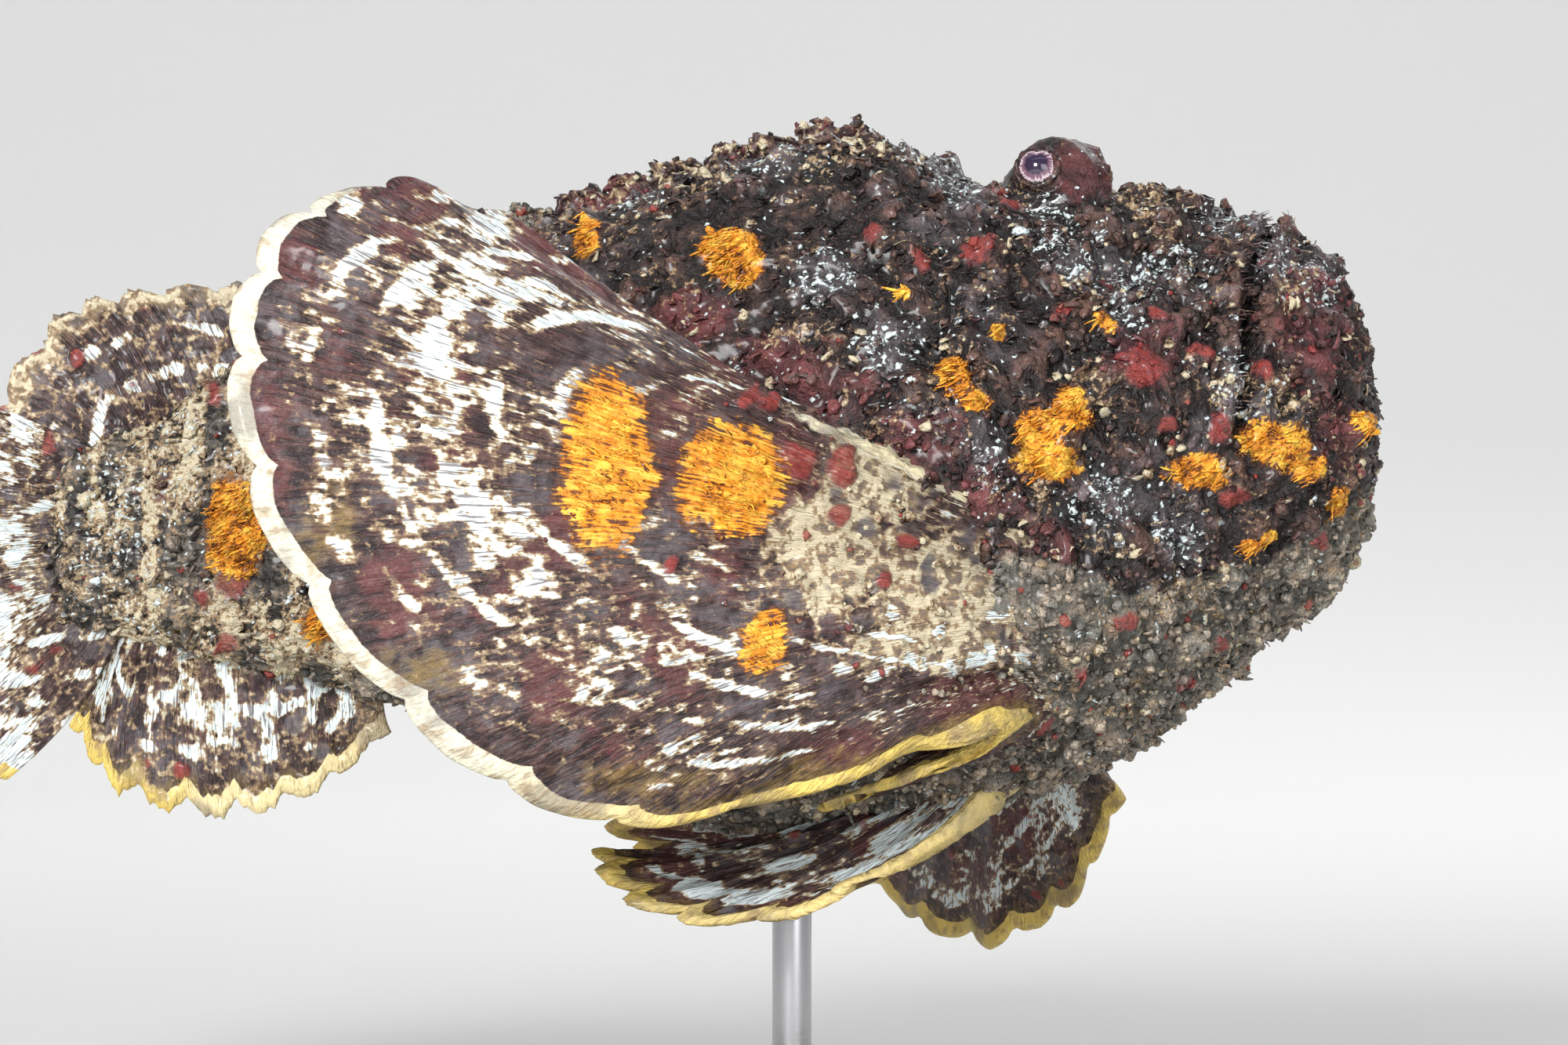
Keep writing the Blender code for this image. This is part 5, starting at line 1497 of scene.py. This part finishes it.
def tongue_shape(sides, cuts, wide, tip, flat, bend):
    """A tapered tongue of skin from zero up to one, flattened and bent over towards X."""
    bm = bmesh.new()
    bmesh.ops.create_cone(bm, cap_ends=True, segments=sides, radius1=wide, radius2=tip, depth=1.2)
    bmesh.ops.translate(bm, verts=bm.verts, vec=(0.0, 0.0, 0.4))
    upright = [edge for edge in bm.edges if abs(edge.verts[0].co.z - edge.verts[1].co.z) > 0.5]
    bmesh.ops.subdivide_edges(bm, edges=upright, cuts=cuts, use_grid_fill=True)
    bmesh.ops.scale(bm, verts=bm.verts, vec=(flat, 1.0, 1.0))
    for v in bm.verts:
        v.co.y *= 1.0 + 0.5 * bump_at(v.co.z - 0.5, 0.3)
        v.co.x += bend * v.co.z**2
    return bm


def variants_of(shape, dent, count=8):
    """That many versions of a shape's points, each dented by seeded noise, and its faces."""
    shape.verts.index_update()
    faces = sorted(from_lowest([v.index for v in face.verts]) for face in shape.faces)
    points = [
        [v.co + dent * noise.noise_vector(1.3 * v.co + Vector((9.7 * k, 0.0, 0.0))) for v in shape.verts]
        for k in range(count)
    ]
    shape.free()
    return np.array(points), faces


def grow(name, shapes, host, roots, sizes, lie, lifts, draw):
    """Joins a version of the shapes on each root. Sizes are widths and heights in metres."""
    points, faces = shapes
    count, corners_each = len(roots), points.shape[1]
    up = host.normals[roots] + lie
    up /= np.linalg.norm(up, axis=1, keepdims=True)
    side = lie + 0.6 * draw.normal(size=(count, 3))
    side -= up * np.sum(side * up, axis=1, keepdims=True)
    side /= np.linalg.norm(side, axis=1, keepdims=True)
    other = np.cross(up, side)
    widths, heights = sizes
    local = points[draw.integers(len(points), size=count)]
    local = local * np.stack((widths, widths, heights), axis=1)[:, None]
    axes = np.stack((side, other, up), axis=1)
    places = host.places[roots][:, None] + np.einsum("nvk,nkc->nvc", local, axes)
    corners = np.concatenate([np.array(face) for face in faces])
    all_corners = (corners[None] + (np.arange(count) * corners_each)[:, None]).ravel()
    all_totals = np.tile([len(face) for face in faces], count)
    mesh = bpy.data.meshes.new(name)
    mesh.vertices.add(count * corners_each)
    mesh.vertices.foreach_set("co", places.astype(np.float32).ravel())
    mesh.loops.add(len(all_corners))
    mesh.loops.foreach_set("vertex_index", all_corners.astype(np.int32))
    mesh.polygons.add(len(all_totals))
    starts = np.concatenate(([0], np.cumsum(all_totals)[:-1]))
    mesh.polygons.foreach_set("loop_start", starts.astype(np.int32))
    mesh.polygons.foreach_set("use_smooth", np.ones(len(all_totals), bool))
    mesh.update(calc_edges=True)
    height_share = np.clip(points[0, :, 2], 0.0, 1.0)
    for mark in MARK_NAMES:
        values = host.marks[mark][roots] + lifts.get(mark, 0.0)
        values = np.repeat(values.clip(-0.4, 1.6), corners_each)
        # Growths get painted shade at their foot and painted light towards their tips; their random lifts are tone.
        if mark == "raised":
            values += np.tile(0.5 * height_share - 0.1, count)
        mesh.attributes.new(mark, "FLOAT", "POINT").data.foreach_set("value", values.astype(np.float32))
    unwrap = mesh.uv_layers.new(name="OFBake")
    spread = points[0, :, :2] / (np.abs(points[0, :, :2]).max() * 2)
    patches = host.unwrap[roots][:, None] + OFBAKE_PATCH * spread[None]
    unwrap.uv.foreach_set("vector", patches.reshape(-1, 2)[all_corners].astype(np.float32).ravel())
    mesh.materials.append(bpy.data.materials["stonefish_skin"])
    return finish_piece(bpy.data.objects.new(name, mesh))


def varied(draw, middle, spread, count, most=2.2):
    """That many seeded lengths about a middle one."""
    return middle * draw.lognormal(0.0, spread, count).clip(0.45, most)


def some(draw, share, lift, count):
    """The lift for a seeded share of the growths, and none for the rest."""
    return np.where(draw.random(count) < share, lift, 0.0)


def grow_flakes(name, host, count, weights, length, draw):
    """Tattered flakes of skin that lean back."""
    roots = host.draw_roots(count, weights, draw)
    lengths = varied(draw, length, 0.38, count)
    lie = 1.7 * np.array((-1.0, 0.0, -0.45)) + 0.9 * draw.normal(size=(count, 3))
    white = host.marks["white"][roots]
    lifts = {
        "white": some(draw, 0.02 + 0.22 * white, 1.0, count),
        "cream": some(draw, 0.05 + 0.25 * host.marks["cream"][roots], 0.8, count) - 0.1,
        "maroon": draw.uniform(-0.6, 0.4, count),
        "raised": draw.uniform(-0.35, 0.4, count),
    }
    shapes = variants_of(tongue_shape(5, 2, 0.5, 0.26, 0.3, 0.45), 0.22)
    sizes = (0.85 * lengths * draw.uniform(0.6, 1.3, count), lengths)
    grow(name, shapes, host, roots, sizes, lie, lifts, draw)


def grow_knobs(name, host, count, weights, radius, draw):
    """Small crusty warts."""
    roots = host.draw_roots(count, weights, draw)
    radii = varied(draw, radius, 0.36, count)
    lifts = {
        "white": some(draw, 0.04, 0.9, count) - 0.2,
        "cream": some(draw, 0.12, 0.7, count),
        "red": some(draw, 0.04, 1.0, count),
        "maroon": draw.uniform(-0.5, 0.4, count),
        "raised": draw.uniform(-0.35, 0.35, count),
    }
    sizes = (radii, radii * draw.uniform(0.6, 1.1, count))
    shapes = variants_of(knob_shape(), 0.6)
    grow(name, shapes, host, roots, sizes, 0.35 * draw.normal(size=(count, 3)), lifts, draw)


def grow_fur(name, host, count, way, length, draw):
    """Strands that lie along the orange patches."""
    roots = host.draw_roots(count, np.clip(host.marks["orange"] - 0.55, 0.0, 0.3), draw)
    lengths = varied(draw, length, 0.3, count)
    lie = 3.6 * np.array(way) + 0.9 * draw.normal(size=(count, 3))
    lifts = {
        "raised": draw.uniform(-0.4, 0.5, count), "orange": draw.uniform(-0.25, 0.4, count), "red": -1.0
    }
    shapes = variants_of(tongue_shape(4, 2, 0.5, 0.2, 0.7, 0.8), 0.15)
    grow(name, shapes, host, roots, (0.2 * lengths, lengths), lie, lifts, draw)


def grow_fringe(host, look, draw):
    """Threads along both lips that reach across the mouth."""
    x, _, z = host.fish.T
    mouth = np.array([mouth_x(height) for height in z])
    weights = (np.abs(np.abs(x - mouth) - LIP_SET + 0.8) < 1.0) * np.clip((z - 8.0) / 8.0, 0.0, 1.0)
    count = look.fringe_count
    roots = host.draw_roots(count, weights, draw)
    lengths = varied(draw, look.fringe_length, 0.3, count)
    lie = np.zeros((count, 3))
    lie[:, 0] = 1.1 * np.sign(mouth[roots] - x[roots])
    lie += 0.25 * draw.normal(size=(count, 3))
    lifts = {"white": some(draw, 0.1, 0.8, count), "raised": draw.uniform(-0.2, 0.5, count)}
    shapes = variants_of(tongue_shape(4, 3, 0.5, 0.12, 0.8, 0.4), 0.1)
    grow("lip_fringe", shapes, host, roots, (0.2 * lengths, lengths), lie, lifts, draw)


def make_growths(context):
    """Flakes, small warts, skin tags, fur and the fringe of the lips, joined into a few pieces."""
    look = context.scene.stonefish_growths
    hosts = {}
    for name in ("skin", "dorsal_fan_spiny", "pectoral_fan_right", "pectoral_fan_left"):
        if name not in bpy.data.objects:
            raise RuntimeError(f"make {name} first, because growths stand on it")
        hosts[name] = Host(bpy.data.objects[name])
    draw = np.random.default_rng(GROWTH_SEED)
    host = hosts["skin"]
    x, _, z = host.fish.T
    domes = [
        np.linalg.norm(host.fish - np.array(on_side(TURRET_CENTRE, side)), axis=1) for side in (-1, 1)
    ]
    clear = np.clip((np.minimum(*domes) - 10.0) / 4.0, 0.0, 1.0)
    bare = clear * (1.0 - 0.8 * np.clip(host.marks["orange"], 0.0, 1.0))
    bare *= 1.0 - 0.7 * np.clip(host.marks["red"], 0.0, 1.0)
    pale = host.marks["pale"]
    top_share = np.clip(0.45 + x / 70.0, 0.4, 1.0)
    for name, is_there, share in (("head", x > 28.0, 0.48), ("body", x <= 28.0, 0.52)):
        weights = is_there * bare * top_share * (1.0 - 0.75 * pale)
        grow_flakes(
            f"flakes_{name}", host, int(share * look.flake_count), weights, look.flake_length,
            draw,
        )
        weights = is_there * bare * (0.1 + pale + 0.15 * (x > 28.0))
        grow_knobs(
            f"warts_{name}", host, int((1.0 - share) * look.knob_count), weights, look.knob_radius,
            draw,
        )
    outline = 0.25 + 1.6 * (z < -12.0) * (x > 0.0) + 0.1 * (z > 45.0)
    count = look.tag_count
    roots = host.draw_roots(count, bare * outline, draw)
    lengths = varied(draw, look.tag_length, 0.35, count, 1.9)
    lifts = {"white": some(draw, 0.2, 1.0, count), "raised": draw.uniform(-0.2, 0.4, count)}
    shapes = variants_of(tongue_shape(5, 3, 0.6, 0.24, 0.7, 0.3), 0.16)
    lie = 0.5 * draw.normal(size=(count, 3))
    grow("skin_tags", shapes, host, roots, (0.3 * lengths, lengths), lie, lifts, draw)
    grow_fringe(host, look, draw)
    grow_fur(
        "orange_fur", host, int(0.78 * look.fur_count), (-0.9, 0.0, -0.43), look.fur_length,
        draw,
    )

    ridge = hosts["dorsal_fan_spiny"]
    grow_flakes(
        "flakes_back", ridge, 1500, np.ones(len(ridge.areas)), 0.75 * look.flake_length,
        draw,
    )
    grow_knobs(
        "warts_back", ridge, 420, np.ones(len(ridge.areas)), 1.2 * look.knob_radius, draw
    )
    for side in ("right", "left"):
        fin = hosts[f"pectoral_fan_{side}"]
        height = fin.unwrap[:, 1]
        weights = np.clip((0.55 - height) / 0.3, 0.01, 1.0) * (fin.marks["rim"] < 0.3)
        weights *= 1.0 - 0.9 * np.clip(fin.marks["orange"], 0.0, 1.0)
        count = look.fin_knob_count
        grow_knobs(f"warts_fin_{side}", fin, count, weights, 0.8 * look.knob_radius, draw)
    near = hosts["pectoral_fan_right"]
    grow_fur(
        "fin_fur", near, int(0.22 * look.fur_count), (-0.85, 0.0, 0.45), 0.75 * look.fur_length,
        draw,
    )


# Stand


def make_stand(context):
    """The wooden base with a rounded edge, the steel rod and a collar at its foot."""
    look = context.scene.stonefish_stand
    wood, steel = wood_material(look), steel_material(look)
    low, high = BASE_BOX
    bm = bmesh.new()
    bmesh.ops.create_cube(bm, size=1.0)
    bmesh.ops.scale(bm, verts=bm.verts, vec=high - low)
    bmesh.ops.translate(bm, verts=bm.verts, vec=(low + high) / 2)
    upright = [e for e in bm.edges if abs(e.verts[0].co.z - e.verts[1].co.z) > MM]
    bmesh.ops.bevel(
        bm, geom=upright, offset=BASE_CORNER * MM, segments=20, profile=0.5, affect="EDGES", material=-1
    )
    rim = [e for e in bm.edges if all(v.co.z > high.z - 0.01 * MM for v in e.verts)]
    bmesh.ops.bevel(
        bm, geom=rim, offset=look.edge_radius, segments=6, profile=0.5, affect="EDGES", material=-1
    )
    base = add_metre_piece("display_base", bm, wood, ("stand_base",))
    base.data.set_sharp_from_angle(angle=math.radians(35.0))

    rod_low, rod_high = ROD_BOX
    middle = (rod_low + rod_high) / 2
    radius = (rod_high.x - rod_low.x) / 2
    bm = bmesh.new()
    bmesh.ops.create_cone(
        bm, cap_ends=True, segments=48, radius1=radius, radius2=radius, depth=rod_high.z - rod_low.z
    )
    bmesh.ops.translate(bm, verts=bm.verts, vec=middle)
    rims = [e for e in bm.edges if abs(e.verts[0].co.z - e.verts[1].co.z) < MM]
    bmesh.ops.bevel(bm, geom=rims, offset=0.4 * MM, segments=3, profile=0.5, affect="EDGES", material=-1)
    rod = add_metre_piece("display_rod", bm, steel, ("stand_rod",))
    rod.data.set_sharp_from_angle(angle=math.radians(35.0))

    bm = bmesh.new()
    bmesh.ops.create_cone(
        bm, cap_ends=True, segments=64, radius1=COLLAR_RADIUS * MM, radius2=0.82 * COLLAR_RADIUS * MM,
        depth=COLLAR_HEIGHT * MM,
    )
    rims = [e for e in bm.edges if abs(e.verts[0].co.z - e.verts[1].co.z) < MM / 10]
    bmesh.ops.bevel(bm, geom=rims, offset=0.9 * MM, segments=4, profile=0.5, affect="EDGES", material=-1)
    bmesh.ops.translate(bm, verts=bm.verts, vec=(middle.x, middle.y, high.z + COLLAR_HEIGHT / 2 * MM))
    collar = add_metre_piece("rod_collar", bm, steel)
    collar.data.set_sharp_from_angle(angle=math.radians(35.0))


# Stage


def make_stage(context):
    """A pale round floor that curves up into a backdrop, soft lights and the photograph's camera."""
    look = context.scene.stonefish_stage
    radius = look.floor_radius
    bm = bmesh.new()
    sweep = look.sweep_radius
    profile = [bm.verts.new((x, 0.0, 0.0)) for x in (0.0, 0.98 * radius, radius)]
    for k in range(1, 25):
        turn = math.pi / 2 * k / 24
        profile.append(
            bm.verts.new((radius + sweep * math.sin(turn), 0.0, sweep * (1 - math.cos(turn))))
        )
    profile.append(bm.verts.new((radius + sweep, 0.0, 1.5 * sweep)))
    edges = [bm.edges.new(pair) for pair in zip(profile, profile[1:])]
    bmesh.ops.spin(
        bm, geom=profile + edges, axis=(0, 0, 1), cent=(0, 0, 0), steps=96, angle=2 * math.pi,
        use_merge=True,
    )
    bmesh.ops.remove_doubles(bm, verts=bm.verts, dist=1e-5)
    bmesh.ops.recalc_face_normals(bm, faces=bm.faces)
    bmesh.ops.reverse_faces(bm, faces=bm.faces)
    mesh = bpy.data.meshes.new("studio_floor")
    bm.to_mesh(mesh)
    bm.free()
    mesh.polygons.foreach_set("use_smooth", [True] * len(mesh.polygons))
    mesh.materials.append(floor_material(look))
    floor = bpy.data.objects.new("studio_floor", mesh)
    context.scene.collection.objects.link(floor)

    fish = Vector((0.0, 0.0, FISH_HEIGHT))
    for name, place, aim, size, power in (
        ("key_light", (-0.5, -1.3, 0.72), fish, 0.42, look.key_power),
        ("fill_light", (0.8, -1.4, 0.5), fish, 0.8, look.fill_power),
        ("back_light", (0.6, 1.3, 1.2), fish, 0.8, look.back_power),
        ("backdrop_light", (0.0, 0.8, 2.2), Vector((0.0, 3.6, 0.9)), 2.0, look.room_power),
        ("front_wall_light", (0.0, -0.8, 2.2), Vector((0.0, -3.6, 0.9)), 2.0, 0.6 * look.room_power),
    ):
        lamp = bpy.data.lights.new(name, "AREA")
        lamp.size = size
        lamp.energy = power
        obj = bpy.data.objects.new(name, lamp)
        obj.location = place
        obj.rotation_euler = (aim - Vector(place)).to_track_quat("-Z", "Y").to_euler()
        context.scene.collection.objects.link(obj)

    context.scene.view_settings.view_transform = "Standard"
    world = bpy.data.worlds.new("room_light")
    world.use_nodes = True
    room = world.node_tree.nodes["Background"]
    room.inputs["Color"].default_value = (0.93, 0.96, 1.0, 1.0)
    room.inputs["Strength"].default_value = look.sky
    context.scene.world = world

    lens = bpy.data.cameras.new("photo_view")
    lens.sensor_width = SENSOR
    lens.lens = SENSOR * VIEW_DISTANCE / (PICTURE_WIDTH * PICTURE_SCALE)
    lens.clip_start = 0.01
    camera = bpy.data.objects.new("photo_view", lens)
    across, up = VIEW_CENTRE
    camera.location = (across * MM, -VIEW_DISTANCE * MM, FISH_HEIGHT + up * MM)
    camera.rotation_euler = (math.pi / 2, 0.0, 0.0)
    context.scene.collection.objects.link(camera)
    context.scene.camera = camera


# Operators, panel and registration


class STONEFISH_OT_make_stage(bpy.types.Operator):
    """Make the pale floor, the lights and the camera"""

    bl_idname = "stonefish.make_stage"
    bl_label = "Stage"

    def execute(self, context):
        make_stage(context)
        return {"FINISHED"}


class STONEFISH_OT_make_skin(bpy.types.Operator):
    """Make the warty skin of the head, trunk and tail, with its nostrils"""

    bl_idname = "stonefish.make_skin"
    bl_label = "Skin"

    def execute(self, context):
        noise.seed_set(NOISE_SEED)
        make_skin(context)
        make_nostrils(context)
        return {"FINISHED"}


class STONEFISH_OT_make_eyes(bpy.types.Operator):
    """Make both eyes and the rings of skin round them"""

    bl_idname = "stonefish.make_eyes"
    bl_label = "Eyes"

    def execute(self, context):
        noise.seed_set(NOISE_SEED)
        look = context.scene.stonefish_eyes
        material = eye_material(look)
        for side, word in ((-1, "right"), (1, "left")):
            make_eye(f"eyeball_{word}", side, material, look, f"eye_{word}")
        make_eye_rims(context)
        return {"FINISHED"}


class STONEFISH_OT_make_fins(bpy.types.Operator):
    """Make the pectoral, pelvic, dorsal, anal and tail fins"""

    bl_idname = "stonefish.make_fins"
    bl_label = "Fins"

    def execute(self, context):
        noise.seed_set(NOISE_SEED)
        make_fins(context)
        return {"FINISHED"}


class STONEFISH_OT_make_growths(bpy.types.Operator):
    """Make the small warts, the skin tags and the fringe of the lips"""

    bl_idname = "stonefish.make_growths"
    bl_label = "Warts and Tags"

    def execute(self, context):
        noise.seed_set(NOISE_SEED)
        make_growths(context)
        return {"FINISHED"}


class STONEFISH_OT_make_stand(bpy.types.Operator):
    """Make the wooden base, the steel rod and its collar"""

    bl_idname = "stonefish.make_stand"
    bl_label = "Stand"

    def execute(self, context):
        make_stand(context)
        return {"FINISHED"}


OPERATORS = (
    STONEFISH_OT_make_stage,
    STONEFISH_OT_make_skin,
    STONEFISH_OT_make_eyes,
    STONEFISH_OT_make_fins,
    STONEFISH_OT_make_growths,
    STONEFISH_OT_make_stand,
)
SETTINGS = {
    "stonefish_stage": StonefishStageSettings,
    "stonefish_skin": StonefishSkinSettings,
    "stonefish_eyes": StonefishEyeSettings,
    "stonefish_fins": StonefishFinSettings,
    "stonefish_growths": StonefishGrowthSettings,
    "stonefish_stand": StonefishStandSettings,
}


class STONEFISH_PT_model(bpy.types.Panel):
    """Lists the model's settings and the buttons that make its pieces"""

    bl_idname = "STONEFISH_PT_model"
    bl_label = "Stonefish"
    bl_space_type = "VIEW_3D"
    bl_region_type = "UI"
    bl_category = "Stonefish"

    def draw(self, context):
        for operator, group in zip(OPERATORS, SETTINGS):
            box = self.layout.box()
            settings = getattr(context.scene, group)
            for name in settings.__annotations__:
                box.prop(settings, name)
            box.operator(operator.bl_idname)


CLASSES = (*SETTINGS.values(), *OPERATORS, STONEFISH_PT_model)


def register():
    for made in CLASSES:
        bpy.utils.register_class(made)
    for name, group in SETTINGS.items():
        setattr(bpy.types.Scene, name, PointerProperty(type=group))


def unregister():
    for name in SETTINGS:
        delattr(bpy.types.Scene, name)
    for made in reversed(CLASSES):
        bpy.utils.unregister_class(made)


def main():
    register()
    for operator in OPERATORS:
        group, name = operator.bl_idname.split(".")
        getattr(getattr(bpy.ops, group), name)()


if __name__ == "__main__":
    main()
